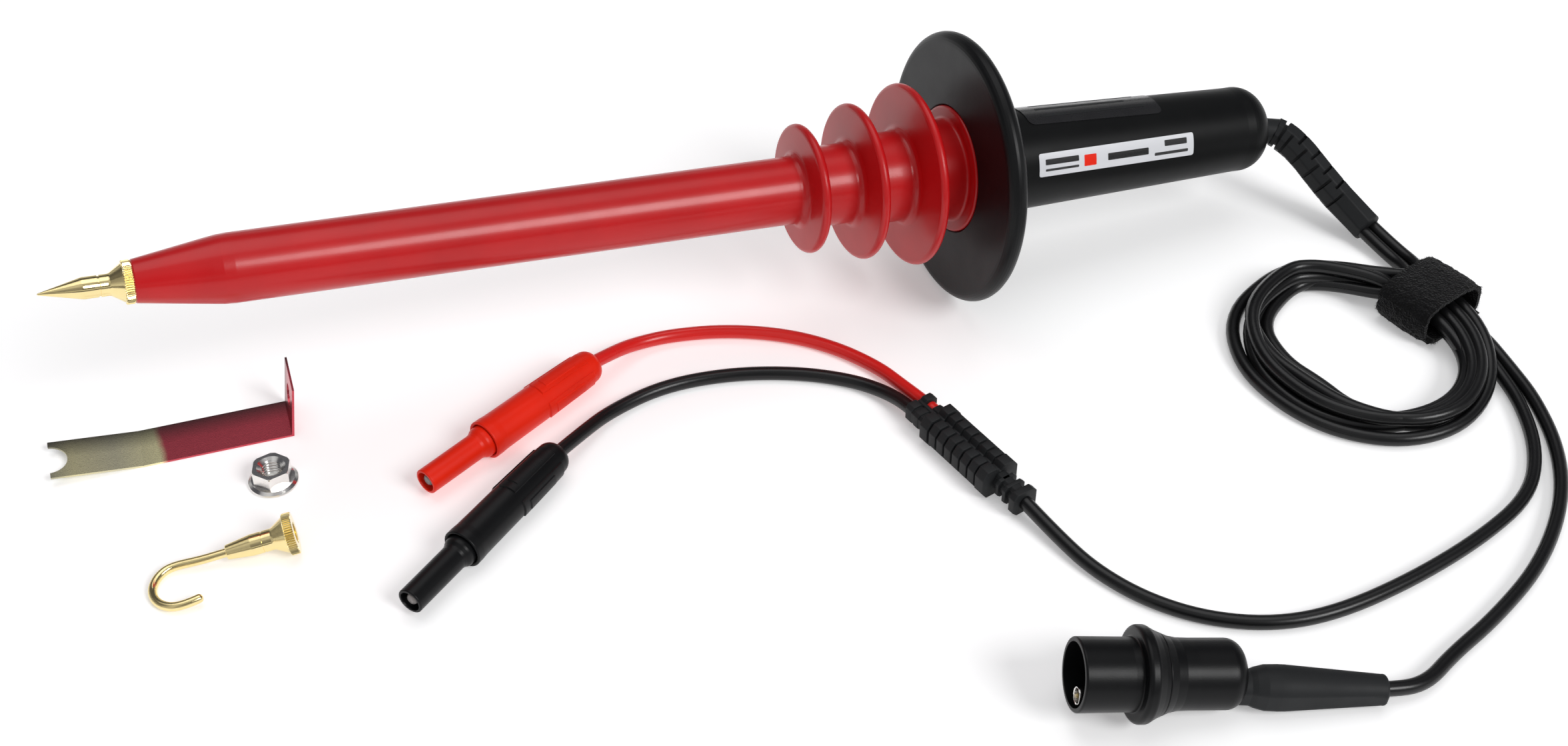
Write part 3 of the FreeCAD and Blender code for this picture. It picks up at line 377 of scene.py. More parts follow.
def lathe(profile, segments=SEGMENTS, shape=None):
    """Vertices and faces of a profile of (along, radius) turned about X.

    shape(along, radius, angle) may give another radius, for knurls, flats and ribs.
    """
    verts = []
    faces = []
    count = len(profile)
    for index in range(segments):
        angle = 2 * math.pi * index / segments
        for along, radius in profile:
            if shape:
                radius = shape(along, radius, angle)
            verts.append((along, radius * math.cos(angle), radius * math.sin(angle)))
    for index in range(segments):
        following = (index + 1) % segments
        for step in range(count - 1):
            faces.append((index * count + step, index * count + step + 1,
                          following * count + step + 1, following * count + step))
    return verts, faces


def held(profile, gap=0.12):
    """The same profile with a point near each corner, so that shading stays flat between them."""
    points = [profile[0]]
    for before, after in zip(profile, profile[1:]):
        length = math.dist(before, after)
        if length > 4 * gap:
            for share in (gap / length, 1 - gap / length):
                points.append((before[0] + (after[0] - before[0]) * share,
                               before[1] + (after[1] - before[1]) * share))
        points.append(after)
    return points


def turned(name, profile, place, body, slot, *nodes, segments=SEGMENTS, shape=None, smooth=40.0):
    """A lathe piece from a profile of (along, radius) in mm."""
    verts, faces = lathe(held(profile), segments, shape)
    return make(name, verts, faces, place, body, slot, *nodes, smooth=smooth)


def stations(start, end, count):
    """Evenly spaced numbers from start to end, in count steps."""
    return [start + (end - start) * step / count for step in range(count + 1)]


def knurled(low, high, teeth, depth):
    """A radius function that cuts straight teeth between two stations."""
    def shape(along, radius, angle):
        if low < along < high:
            return radius - depth * (0.5 - 0.5 * math.cos(teeth * angle))
        return radius
    return shape


def prism(outline, start, end):
    """A bar along X whose section is a list of (y, z) points."""
    count = len(outline)
    verts = [(start, y, z) for y, z in outline] + [(end, y, z) for y, z in outline]
    faces = [tuple(range(count)), tuple(range(2 * count - 1, count - 1, -1))]
    for index in range(count):
        after = (index + 1) % count
        faces.append((index, count + index, count + after, after))
    return verts, faces


def tube_faces(rings, count):
    """Faces of a tube of rings with count points each, closed at both ends."""
    faces = []
    for index in range(rings - 1):
        for step in range(count):
            after = (step + 1) % count
            faces.append((index * count + step, index * count + after,
                          (index + 1) * count + after, (index + 1) * count + step))
    faces.append(tuple(range(count)))
    faces.append(tuple(range(rings * count - 1, (rings - 1) * count - 1, -1)))
    return faces


def sheet_faces(rows, row):
    """Faces of a sheet of rows with row points each, given twice, with a rim between them."""
    layer = rows * row
    faces = []
    for index in range(rows - 1):
        for step in range(row - 1):
            one = index * row + step
            faces.append((one, one + row, one + row + 1, one + 1))
            faces.append(tuple(layer + c for c in (one, one + 1, one + row + 1, one + row)))
        for one in (index * row, index * row + row - 1):
            faces.append((one, one + row, layer + one + row, layer + one))
    for step in range(row - 1):
        for one in (step, (rows - 1) * row + step):
            faces.append((one, one + 1, layer + one + 1, layer + one))
    return faces


def merged(*parts):
    """Several (vertices, faces) pairs as one."""
    verts = []
    faces = []
    for part_verts, part_faces in parts:
        base = len(verts)
        verts += part_verts
        faces += [tuple(base + corner for corner in face) for face in part_faces]
    return verts, faces


# ---------------------------------------------------------------- camera, floor and light
camera = bpy.data.objects.new("camera", bpy.data.cameras.new("camera"))
bpy.context.collection.objects.link(camera)
camera.location = (-0.2422, -0.4744, 0.4365)
camera.rotation_euler = (math.radians(48.0), 0, math.radians(-21.92))
camera.data.sensor_width = 36.0
camera.data.lens = 50.53
camera.data.clip_start = 0.01
bpy.context.scene.camera = camera
bpy.context.scene.view_settings.view_transform = "Standard"

FLOOR_HALF = 6
floor_mesh = bpy.data.meshes.new("floor")
floor_mesh.from_pydata([(x * FLOOR_HALF, y * FLOOR_HALF, 0)
                        for x, y in ((-1, -1), (1, -1), (1, 1), (-1, 1))], [], [(0, 1, 2, 3)])
floor = bpy.data.objects.new("floor", floor_mesh)
bpy.context.collection.objects.link(floor)
floor_material = bpy.data.materials.new("floor_white")
floor_shader = nodes_of(floor_material)[1]
floor_shader.inputs["Base Color"].default_value = (0.93, 0.93, 0.93, 1)
floor_shader.inputs["Roughness"].default_value = 0.9
floor_shader.inputs["Specular IOR Level"].default_value = 0.1
floor_shader.inputs["Emission Color"].default_value = (1, 1, 1, 1)
floor_shader.inputs["Emission Strength"].default_value = 0.3
floor_mesh.materials.append(floor_material)

world = bpy.data.worlds.new("studio")
bpy.context.scene.world = world
world.use_nodes = True
sky_tree = world.node_tree
sky = sky_tree.nodes["Background"]
sky.inputs["Strength"].default_value = 1.0
upward = sky_tree.nodes.new("ShaderNodeSeparateXYZ")
sky_coords = sky_tree.nodes.new("ShaderNodeTexCoord").outputs["Generated"]
sky_tree.links.new(sky_coords, upward.inputs[0])
# Bands of grey by height: dark ones keep the black pieces dark, light ones give them gloss.
sky_tree.links.new(ramp(sky_tree, upward.outputs["Z"], [
    (0.0, (0.03, 0.03, 0.03)), (0.13, (0.04, 0.04, 0.04)), (0.17, (0.7, 0.7, 0.7)),
    (0.3, (0.55, 0.55, 0.55)), (0.36, (0.12, 0.12, 0.13)), (0.7, (0.08, 0.08, 0.09)),
    (0.9, (0.5, 0.5, 0.51))]), sky.inputs["Color"])


def sun(name, position, angle, power):
    """A soft sun that shines from a position to the origin."""
    light = bpy.data.objects.new(name, bpy.data.lights.new(name, "SUN"))
    bpy.context.collection.objects.link(light)
    light.rotation_euler = (-Vector(position)).to_track_quat("-Z", "Y").to_euler()
    light.data.angle = math.radians(angle)
    light.data.energy = power


sun("key", (0.6, -1.05, 1.0), 24, 1.6)
sun("top", (0.1, 0.3, 1.0), 50, 0.65)
sun("fill", (-0.8, -0.6, 0.8), 50, 0.2)


# ---------------------------------------------------------------- cables
CABLE = 4.1
SCOPE_START = [(135.2, -34.9, 5.1), (137.7, -45.1, 2.8), (139, -56.6, 3.3)]
METER_START = [(131.1, -36.0, 5.1), (133.5, -45.9, 2.8), (134.3, -55.7, 3.3)]
SCOPE_END = [
    (131.5, -77, 6), (138.4, -89, 3), (138, -104, 2.1), (136.3, -119.8, 2.1),
    (129.6, -139.7, 2.1), (117.6, -157.5, 2.1), (97.7, -174.5, 2.1), (74.5, -186, 2.1),
    (57.5, -192.1, 2.1), (45, -198.4, 2.7), local(BOOT, BOOT_LENGTH, 0, 0),
    local(BOOT, BOOT_LENGTH - 8.0, 0, 0)]
METER_END = [
    (126.5, -78.5, 6), (134.4, -91, 3.4), (133.9, -104.5, 2.1), (131.6, -119, 2.1),
    (124, -137, 2.1), (111, -151.5, 2.1), (89, -160, 2.1), (63, -166, 2.1), (38, -168.7, 2.1),
    (20.3, -166, 2.1), (5, -157.8, 2.1), (-6.2, -146.4, 2.1), (-13.8, -132.6, 2.1), (-18, -119, 3),
    local(SPLITTER, SPLITTER_LENGTH, 0, 0)]
BLACK_LEAD = [
    local(SPLITTER, 5.5, -2.35, 0), local(SPLITTER, 0, -2.35, 0), (-37.4, -47.6, 3.2),
    (-44.6, -37.4, 2.1), (-58.4, -28.2, 2.1), (-77, -21.2, 2.1), (-97, -18.9, 2.1),
    (-115.2, -24, 2.6), (-126.3, -31.9, 4.8),
    local(BLACK_PLUG, PLUG_LENGTH, 0, 0)]
RED_LEAD = [
    local(SPLITTER, 5.5, 2.35, 0), local(SPLITTER, 0, 2.35, 0), (-32.5, -46, 3.2),
    (-35.2, -35.2, 2.1), (-43.4, -22.2, 2.1), (-55, -11.2, 2.1), (-71, -2.6, 2.1), (-87, 1.5, 2.1),
    (-97.6, 1.2, 2.8), (-105.6, -1.9, 4.9),
    local(RED_PLUG, PLUG_LENGTH, 0, 0)]

# Where each cable's turns pass the tie, the near side, the left, the far side and the far right
# of the coil: (distance from the coil's centre, height), three turns from tie to tie.
COIL_ANGLES = (20.0, -70.0, -160.0, -265.0, -308.0)
SCOPE_TURNS = [
    (35.0, 8.0), (36.8, 5.7), (24.0, 5.7), (39.6, 5.7), (33.4, 8.0),
    (39.2, 8.0), (39.4, 2.1), (33.8, 2.1), (42.6, 2.1), (38.0, 4.4),
    (39.2, 3.8), (31.6, 2.1), (31.2, 2.1), (35.6, 5.7), (31.4, 4.4), (35.0, 3.8)]
METER_TURNS = [
    (30.8, 8.0), (34.6, 5.7), (28.6, 5.7), (37.0, 8.9), (30.6, 8.6),
    (29.4, 3.8), (32.8, 5.7), (27.6, 2.1), (35.8, 2.1), (28.6, 4.4),
    (26.6, 8.0), (36.6, 2.1), (18.2, 2.1), (34.4, 2.1), (33.6, 8.0), (26.6, 3.8)]
STEPS_BETWEEN = 3


def coil_turns(passes):
    """Points of the turns, eased from one pass to the next."""
    def angle_of(index):
        turn, place = divmod(index, len(COIL_ANGLES))
        return COIL_ANGLES[place] - 360.0 * turn

    points = []
    for index, (here, ahead) in enumerate(zip(passes, passes[1:])):
        start = angle_of(index)
        end = angle_of(index + 1)
        for step in range(STEPS_BETWEEN):
            share = step / STEPS_BETWEEN
            eased = share * share * (3 - 2 * share)
            angle = math.radians(start + (end - start) * share)
            radius = here[0] + (ahead[0] - here[0]) * eased
            height = here[1] + (ahead[1] - here[1]) * eased
            points.append((COIL_CENTRE.x + radius * math.cos(angle),
                           COIL_CENTRE.y + radius * math.sin(angle), height))
    return points


def nurbs(name, points, resolution):
    curve = bpy.data.curves.new(name, "CURVE")
    curve.dimensions = "3D"
    spline = curve.splines.new("NURBS")
    spline.points.add(len(points) - 1)
    for control, point in zip(spline.points, points):
        control.co = (*point, 1.0)
    spline.order_u = 3
    spline.use_endpoint_u = True
    spline.resolution_u = resolution
    return curve


def cable(name, points, slot, *nodes):
    """A round cable on a smooth line along the route, in the part's frame."""
    curve = nurbs(name, [metres(point) for point in points], 6)
    curve.bevel_depth = CABLE / 2 * MM
    curve.bevel_resolution = 5
    curve.use_fill_caps = True
    curve.materials.append(MATERIALS[slot])
    piece = bpy.data.objects.new(name, curve)
    bpy.context.collection.objects.link(piece)
    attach(piece, "probe")
    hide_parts(*nodes)
    return piece


scope_cable = cable("scope_cable", SCOPE_START + coil_turns(SCOPE_TURNS) + SCOPE_END, "black_cable",
                    "scope_cable_start", "scope_cable_end", "cable_coil")
meter_cable = cable("meter_cable", METER_START + coil_turns(METER_TURNS) + METER_END, "black_cable",
                    "meter_cable_start", "meter_cable_end", "cable_coil")
black_lead = cable("black_lead_line", BLACK_LEAD, "black_cable", "black_lead")
red_lead = cable("red_lead_line", RED_LEAD, "red_cable", "red_lead")


def line_of(points):
    """Close points (mm) on the smooth line along a route."""
    holder = bpy.data.objects.new("line", nurbs("line", points, 40))
    mesh = bpy.data.meshes.new_from_object(holder)
    result = [vertex.co.copy() for vertex in mesh.vertices]
    bpy.data.objects.remove(holder)
    return result


def place_on(line, distance):
    """Point and direction on a polyline, a distance (mm) from its start."""
    run = 0.0
    for before, after in zip(line, line[1:]):
        step = (after - before).length
        if run + step >= distance or after is line[-1]:
            way = (after - before).normalized()
            return before + way * (distance - run), way
        run += step


def line_length(line):
    return sum((after - before).length for before, after in zip(line, line[1:]))


def swept_along(line, distances, section):
    """Vertices and faces of rings set along a line; section(index) gives a ring of (y, z)."""
    verts = []
    for index, distance in enumerate(distances):
        centre, way = place_on(line, distance)
        side = Vector((0, 0, 1)).cross(way).normalized()
        rise = way.cross(side)
        verts += [tuple(centre + side * y + rise * z) for y, z in section(index)]
    return verts, tube_faces(len(distances), len(section(0)))


# ---------------------------------------------------------------- needle tip
TEETH = 54
tip_profile = ([(0.0, 0.0)] + arc((0.28, 0.0), 0.28, 165, 105, 4) + [
    (11.1, 2.9), (11.5, 2.95), (15.15, 2.95), (15.2, 2.72), (15.65, 2.72), (15.7, 2.95),
    (17.75, 2.95), (18.2, 3.05), (21.2, 5.05), (21.45, 5.2), (21.5, 5.55), (21.8, 5.85),
    (22.0, 5.85), (23.6, 5.85), (23.75, 5.8), (24.0, 5.5), (24.0, 2.98), (19.2, 2.98), (19.2, 0.0)])
turned("needle", tip_profile, PROBE, "needle_tip", "gold_plate", "needle_tip", segments=TEETH * 6,
       shape=knurled(21.6, 23.9, TEETH, 0.42), smooth=28.0)

# ---------------------------------------------------------------- barrel with rain sheds
barrel = [(24.0, 4.05), (24.0, 5.6), (24.3, 5.85), (44.0, 8.95), (46.5, 9.3), (49.5, 9.48)]
SHED_STATION, SHED_PITCH = 214.5, 16.75
SHED_RADIUS, SHED_GROWTH = 19.0, 4.05
NECK_FRONT, NECK_RADIUS, NECK_GROWTH = 9.9, 11.8, 1.6
for shed in range(3):
    centre = SHED_STATION + SHED_PITCH * shed
    rim = SHED_RADIUS + SHED_GROWTH * shed
    neck_before = NECK_FRONT if shed == 0 else NECK_RADIUS + NECK_GROWTH * (shed - 1)
    neck_after = NECK_RADIUS + NECK_GROWTH * shed
    barrel += arc((centre - 4.2, neck_before + 2.3), 2.3, 270, 360, 6)
    barrel += arc((centre, rim - 1.45), 1.45, 172, 8, 8)
    barrel += arc((centre + 3.9, neck_after + 2.0), 2.0, 180, 270, 6)
barrel += arc((260.4, 16.0), 1.0, 270, 360, 4)
barrel += arc((262.2, 18.2), 0.8, 180, 90, 4) + arc((263.2, 18.2), 0.8, 90, 0, 4)
barrel += [(264.0, 12.5), (284.0, 12.5), (284.0, 6.6), (50.0, 6.6), (50.0, 4.05), (24.0, 4.05)]
turned("barrel_shell", barrel, PROBE, "probe", "red_barrel", "barrel", segments=128, smooth=30.0)

# ---------------------------------------------------------------- guard disc and handle
guard = ([(264.1, 19.15), (262.3, 19.15), (262.0, 19.5), (262.0, 37.3)]
         + arc((GUARD_STATION, GUARD_RADIUS), GUARD_RIM, 180, 0, 12)
         + [(268.0, 37.3), (268.0, 12.6), (264.1, 12.6), (264.1, 19.15)])
turned("guard_plate", guard, PROBE, "probe", "black_guard", "guard_disc", segments=160, smooth=30.0)


HANDLE_FRONT = 268.0
HANDLE_RADIUS = 15.75
HANDLE_TAPER = 2.65
HANDLE_TAPER_LENGTH = 95.4


def handle_radius(station):
    return HANDLE_RADIUS - HANDLE_TAPER * (station - HANDLE_FRONT) / HANDLE_TAPER_LENGTH


handle = ([(HANDLE_FRONT, 12.6), (HANDLE_FRONT, 15.45), (268.3, 15.74)]
          + [(station, handle_radius(station)) for station in stations(270.0, 360.0, 20)]
          + arc((362.6, 4.9), 8.35, 88, 0, 14)
          + [(371.0, 5.1), (358.0, 5.1), (358.0, 10.5), (286.0, 12.8), (286.0, 12.6),
             (HANDLE_FRONT, 12.6)])
turned("handle_shell", handle, PROBE, "probe", "black_handle", "handle", segments=128, smooth=30.0)


PATCH_ACROSS = 16


def patch(name, slot, start, length, angle, width, corner, low, high, *nodes):
    """A thin sticker with round corners on the handle, between two heights above its surface.

    Angle is where its middle is round the handle, and width its size round the handle.
    """
    def half_width(along):
        inside = min(along, length - along)
        if inside >= corner:
            return width / 2
        return width / 2 - corner + math.sqrt(max(0.0, corner ** 2 - (corner - inside) ** 2))

    edge = [corner * (1 - math.cos(math.radians(15 * step))) for step in range(7)]
    columns = edge + stations(corner, length - corner, 12)[1:-1] + [length - e for e in edge[::-1]]
    verts = []
    for lift in (high, low):
        for along in columns:
            radius = handle_radius(start + along)
            for step in range(PATCH_ACROSS + 1):
                share = 2 * step / PATCH_ACROSS - 1
                turn = half_width(along) * share / radius + math.radians(angle)
                verts.append((start + along, (radius + lift) * math.cos(turn),
                              (radius + lift) * math.sin(turn)))
    make(name, verts, sheet_faces(len(columns), PATCH_ACROSS + 1), PROBE, "probe", slot, *nodes,
         smooth=35.0)


LABEL_ANGLE = 154.0
patch("label_plate", "white_label", 284.7, 54.5, LABEL_ANGLE, 7.0, 0.7, 0.0, 0.22, "name_label")
# Plain bars in place of printing: (ink, start, length, distance above the middle, height)
LABEL_BARS = [("dark_film", 286.8, 11.5, 0.8, 1.7), ("dark_film", 286.8, 11.5, -1.6, 0.7),
              ("red_plastic", 300.2, 4.2, -0.3, 3.4), ("dark_film", 308.5, 14.4, -0.2, 2.1),
              ("dark_film", 328.7, 8.0, 1.4, 1.8), ("dark_film", 325.1, 12.0, -1.6, 0.9)]
for number, (ink, start, length, above, height) in enumerate(LABEL_BARS):
    turn = LABEL_ANGLE - math.degrees(above / handle_radius(start))
    patch(f"label_bar_{number}", ink, start, length, turn, height, 0.25, 0.2, 0.26)
FILM_ANGLE = 62.0
FILM_BARS = 5
FILM_BAR_STEP = 52.0 / 3.4
patch("film_patch", "dark_film", 285.0, 46.0, FILM_ANGLE, 23.0, 2.0, 0.0, 0.2, "film_label")
for number in range(FILM_BARS):
    length = 31.0 if number % 2 else 36.0
    turn = FILM_ANGLE + FILM_BAR_STEP * (number - FILM_BARS // 2)
    patch(f"film_bar_{number}", "black_rubber", 290.0, length, turn, 1.1, 0.3, 0.18, 0.24)

# ---------------------------------------------------------------- strain relief
RELIEF_ROUTE = [local(PROBE, 362.0, 0, 0), local(PROBE, 368.0, 0, 0), (114.5, -0.9, 26.2),
                (120.2, -8.2, 23.2), (125.6, -19.4, 14.6), (130.4, -26.8, 8.2), (132.9, -34.9, 5.6),
                (133.1, -35.6, 5.4)]
RELIEF_RADIUS = 5.0
STUB_RADIUS = 4.3
SLOT_WIDE = 0.95
SLOT_PITCH = 2.95
SLOT_FLANK = 0.04
SLOTTED_FROM = 20.5
SLOT_COUNT = 9
# A ring is whole, or cut at a slot: in from its two sides, or from above and below in the middle.
WHOLE, SIDES, MIDDLE = 0, 1, 2
SIDE_SLOT_Y = 2.3
MIDDLE_SLOT_Y = 2.6
MIDDLE_SLOT_Z = 3.0
relief_line = line_of(RELIEF_ROUTE)
relief_length = line_length(relief_line)
relief_rings = [(0.0, STUB_RADIUS, WHOLE), (15.5, STUB_RADIUS, WHOLE),
                (15.6, STUB_RADIUS + 0.35, WHOLE), (17.4, STUB_RADIUS + 0.45, WHOLE),
                (17.5, STUB_RADIUS - 0.6, WHOLE), (18.3, STUB_RADIUS - 0.6, WHOLE),
                (18.4, RELIEF_RADIUS - 0.25, WHOLE), (18.7, RELIEF_RADIUS, WHOLE)]
for slot_number in range(SLOT_COUNT):
    near = SLOTTED_FROM + SLOT_PITCH * slot_number
    kind = SIDES if slot_number % 2 == 0 else MIDDLE
    relief_rings += [(near, RELIEF_RADIUS, WHOLE), (near + SLOT_FLANK, RELIEF_RADIUS, kind),
                     (near + SLOT_WIDE - SLOT_FLANK, RELIEF_RADIUS, kind),
                     (near + SLOT_WIDE, RELIEF_RADIUS, WHOLE)]
relief_rings += [(relief_length - 0.8, RELIEF_RADIUS, WHOLE), (relief_length - 0.3, 4.75, WHOLE),
                 (relief_length, 4.2, WHOLE)]


def relief_section(index):
    """A ring of the sleeve: round on the stub, eight-sided on the slotted bar."""
    radius, cut = relief_rings[index][1:]
    ring = []
    for step in range(SEGMENTS):
        angle = 2 * math.pi * (step + 0.5) / SEGMENTS
        facet = (angle + math.pi / 8) % (math.pi / 4) - math.pi / 8
        reach = radius if radius < 4.6 else min(radius * 1.02, radius * 0.955 / math.cos(facet))
        y, z = reach * math.cos(angle), reach * math.sin(angle)
        if cut == SIDES and abs(y) > SIDE_SLOT_Y:
            y = math.copysign(SIDE_SLOT_Y, y)
        if cut == MIDDLE and abs(y) < MIDDLE_SLOT_Y:
            z = math.copysign(MIDDLE_SLOT_Z, z)
        ring.append((y, z))
    return ring


relief_verts, relief_faces = swept_along(
    relief_line, [ring[0] for ring in relief_rings], relief_section)
make("strain_relief_sleeve", relief_verts, relief_faces, Matrix.Identity(4), "probe",
     "black_rubber", "strain_relief", smooth=24.0)

# ---------------------------------------------------------------- hook and loop tie
TIE = (Matrix.Translation(COIL_CENTRE * MM) @ Matrix.Rotation(math.radians(17.0), 4, "Z")
       @ Matrix.Translation(Vector((32.6, -0.4, 6.8)) * MM))
TIE_AROUND = 150
TIE_ACROSS = 22
TIE_TURNS = 1.32
TIE_WIDTH = 18.0
TIE_THICK = 1.35
TIE_LAP = 1.45
TIE_HALF_WIDE = 12.3
TIE_HALF_HIGH = 5.3
TIE_SQUARENESS = 3.2
TIE_LOWEST = -6.7
FIBRES = 1500
FIBRE_RADIUS = 0.045


def tie_point(step, number, lift):
    """A point of the rough band: on its inner face at lift 0, on its outer face at lift 1."""
    share = step / TIE_AROUND
    angle = math.radians(-150) + 2 * math.pi * TIE_TURNS * share
    lapped = max(0.0, share * TIE_TURNS - 1.0) / (TIE_TURNS - 1.0)
    thick = TIE_THICK * lift + min(TIE_THICK * lapped * 4, TIE_LAP)
    bend = 2 / TIE_SQUARENESS
    cosine, sine = math.cos(angle), math.sin(angle)
    x = (TIE_HALF_WIDE + thick) * math.copysign(abs(cosine) ** bend, cosine)
    z = (TIE_HALF_HIGH + thick) * math.copysign(abs(sine) ** bend, sine)
    across = number / TIE_ACROSS * 2 - 1
    y = across * TIE_WIDTH / 2 + 1.6 * math.sin(angle * 0.5 + 0.6)
    rough = noise.noise(Vector((x * 0.7, y * 0.7, z * 0.7 + 4 * lift))) * 0.35
    fuzz = noise.noise(Vector((x * 3.1, y * 3.1, z * 3.1 + 9 * lift))) * 0.16
    stretch = 1 - 0.05 * across * across + (rough + fuzz) / 11.0 * (1 if lift else 0.3)
    return x * stretch, y + rough * 0.5, max(z * stretch, TIE_LOWEST)


tie_verts = [tie_point(step, number, lift) for lift in (0, 1)
             for step in range(TIE_AROUND + 1) for number in range(TIE_ACROSS + 1)]
make("tie_band", tie_verts, sheet_faces(TIE_AROUND + 1, TIE_ACROSS + 1), TIE, "probe",
     "black_fabric", "cable_tie", smooth=60.0)

random.seed(5)
outer_verts = tie_verts[len(tie_verts) // 2:]
fibre_verts = []
fibre_faces = []
for fibre in range(FIBRES):
    step = random.randrange(TIE_AROUND)
    number = random.choice((0, TIE_ACROSS, random.randrange(TIE_ACROSS)))
    root = Vector(outer_verts[step * (TIE_ACROSS + 1) + number])
    outward = Vector((root.x, 0, root.z * 1.6)).normalized()
    if number in (0, TIE_ACROSS):
        outward += Vector((0, 1 if number else -1, 0)) * 1.2
    outward += Vector((random.uniform(-1, 1), random.uniform(-1, 1), random.uniform(-1, 1))) * 0.7
    outward = outward.normalized() * random.uniform(0.25, 0.75)
    if (root + outward).z < TIE_LOWEST + 0.1:
        continue
    side = outward.cross(Vector((0.3, 0.5, 0.8))).normalized() * FIBRE_RADIUS
    other = outward.cross(side).normalized() * FIBRE_RADIUS
    base = len(fibre_verts)
    fibre_verts += [tuple(corner) for corner in (root + side, root - side, root + other,
                                                 root + outward)]
    fibre_faces += [(base, base + 1, base + 3), (base + 1, base + 2, base + 3),
                    (base + 2, base, base + 3), (base, base + 2, base + 1)]
make("tie_fibres", fibre_verts, fibre_faces, TIE, "probe", "black_fabric", smooth=30.0)


# ---------------------------------------------------------------- splitter
def lobed(half_width, half_height, valley):
    """A section of two eight-sided lobes side by side, as (y, z) points."""
    w, h = half_width, half_height
    upper = [(w, h - 2.4), (w - 1.7, h), (1.3, h), (0.3, h - valley), (-0.3, h - valley),
             (-1.3, h), (-w + 1.7, h), (-w, h - 2.4)]
    return upper + [(y, -z) for y, z in upper[::-1]]


def rounded_box(half_width, half_height, corner):
    w, h, c = half_width, half_height, corner
    return [(w, h - c), (w - c, h), (-w + c, h), (-w, h - c),
            (-w, -h + c), (-w + c, -h), (w - c, -h), (w, -h + c)]


def circle(radius, count=24):
    return [(radius * math.cos(2 * math.pi * k / count),
             radius * math.sin(2 * math.pi * k / count)) for k in range(count)]


def shifted(outline, across, up=0.0):
    return [(y + across, z + up) for y, z in outline]


RIB_COUNT = 8
RIB_PITCH = 3.5
RIB_GAP = 0.7
RIBS_FROM = 8.9
END_RIB_GROWTH = 0.15
splitter_parts = [prism(lobed(5.3, 3.9, 1.4), 8.4, 37.0)]
for rib in range(RIB_COUNT):
    first, last = rib == 0, rib == RIB_COUNT - 1
    start = RIBS_FROM + rib * RIB_PITCH - (0.5 if first else 0.0)
    end = RIBS_FROM + (rib + 1) * RIB_PITCH - RIB_GAP + (0.75 if last else 0.0)
    grown = END_RIB_GROWTH if first or last else 0.0
    splitter_parts.append(prism(lobed(6.1 + grown, 4.65 + grown, 1.7), start, end))
splitter_parts += [
    # the black lead's end and the red lead's end, side by side
    prism(shifted(rounded_box(2.3, 3.1, 1.0), -2.55), 0.0, 2.8),
    prism(shifted(rounded_box(2.25, 2.5, 0.9), -2.6), 2.6, 8.6),
    prism(shifted(rounded_box(2.4, 2.8, 0.9), -2.6), 3.8, 6.0),
    prism(shifted(rounded_box(2.3, 3.1, 1.0), 2.55), 0.0, 2.5),
    prism(shifted(rounded_box(2.1, 2.5, 0.9), 2.3), 5.2, 8.6),
    prism(shifted(rounded_box(4.2, 0.6, 0.3), 0.0, -1.8), 2.0, 8.6),
    prism(rounded_box(0.8, 2.6, 0.4), 0.2, 8.6),
    # the meter cable's end
    prism(circle(2.6), 36.5, 47.2),
    prism(rounded_box(1.9, 3.0, 0.7), 37.0, 46.0),
    prism(rounded_box(3.4, 3.0, 1.0), 38.9, 40.1),
    prism(rounded_box(3.6, 3.2, 1.1), 42.0, 43.3),
    prism(rounded_box(4.1, 3.8, 1.4), 45.5, SPLITTER_LENGTH),
]
splitter_verts, splitter_faces = merged(*splitter_parts)
splitter_piece = make("splitter_block", splitter_verts, splitter_faces, SPLITTER, "probe",
                      "black_rubber", "splitter_body", smooth=35.0, bevel=0.42, bevel_turn=28.0)


# ---------------------------------------------------------------- 4 mm plugs
def grip_shape(along, radius, angle):
    """Raised grip pads round the rear half of a plug, and flutes near its tail."""
    if radius < 5.0 or along < 42.5:
        return radius
    turn = (angle + math.pi / 4) % (math.pi / 2) - math.pi / 4
    rise = 0.0
    if 43.0 < along < 61.5 and abs(turn) < 0.5:
        rise = 0.4
    if 45.5 < along < 57.0 and abs(turn) < 0.3:
        rise = 0.7
    return radius + rise


def coil_spring(name, place, body, slot, start, end, radius, wire, turns, *nodes):
    """A round-wire helix about a local X axis; wire is the wire's radius."""
    per_turn = 20
    around = 8
    total = per_turn * turns
    verts = []
    for step in range(total + 1):
        share = step / total
        angle = 2 * math.pi * turns * share
        centre = Vector((start + wire + (end - start - 2 * wire) * share,
                         radius * math.cos(angle), radius * math.sin(angle)))
        out = Vector((0, math.cos(angle), math.sin(angle)))
        for side in range(around):
            spin = 2 * math.pi * side / around
            verts.append(tuple(centre + (out * math.cos(spin) + Vector((1, 0, 0)) * math.sin(spin))
                               * wire))
    return make(name, verts, tube_faces(total + 1, around), place, body, slot, *nodes, smooth=50.0)


SPRING_SEAT = 50.15


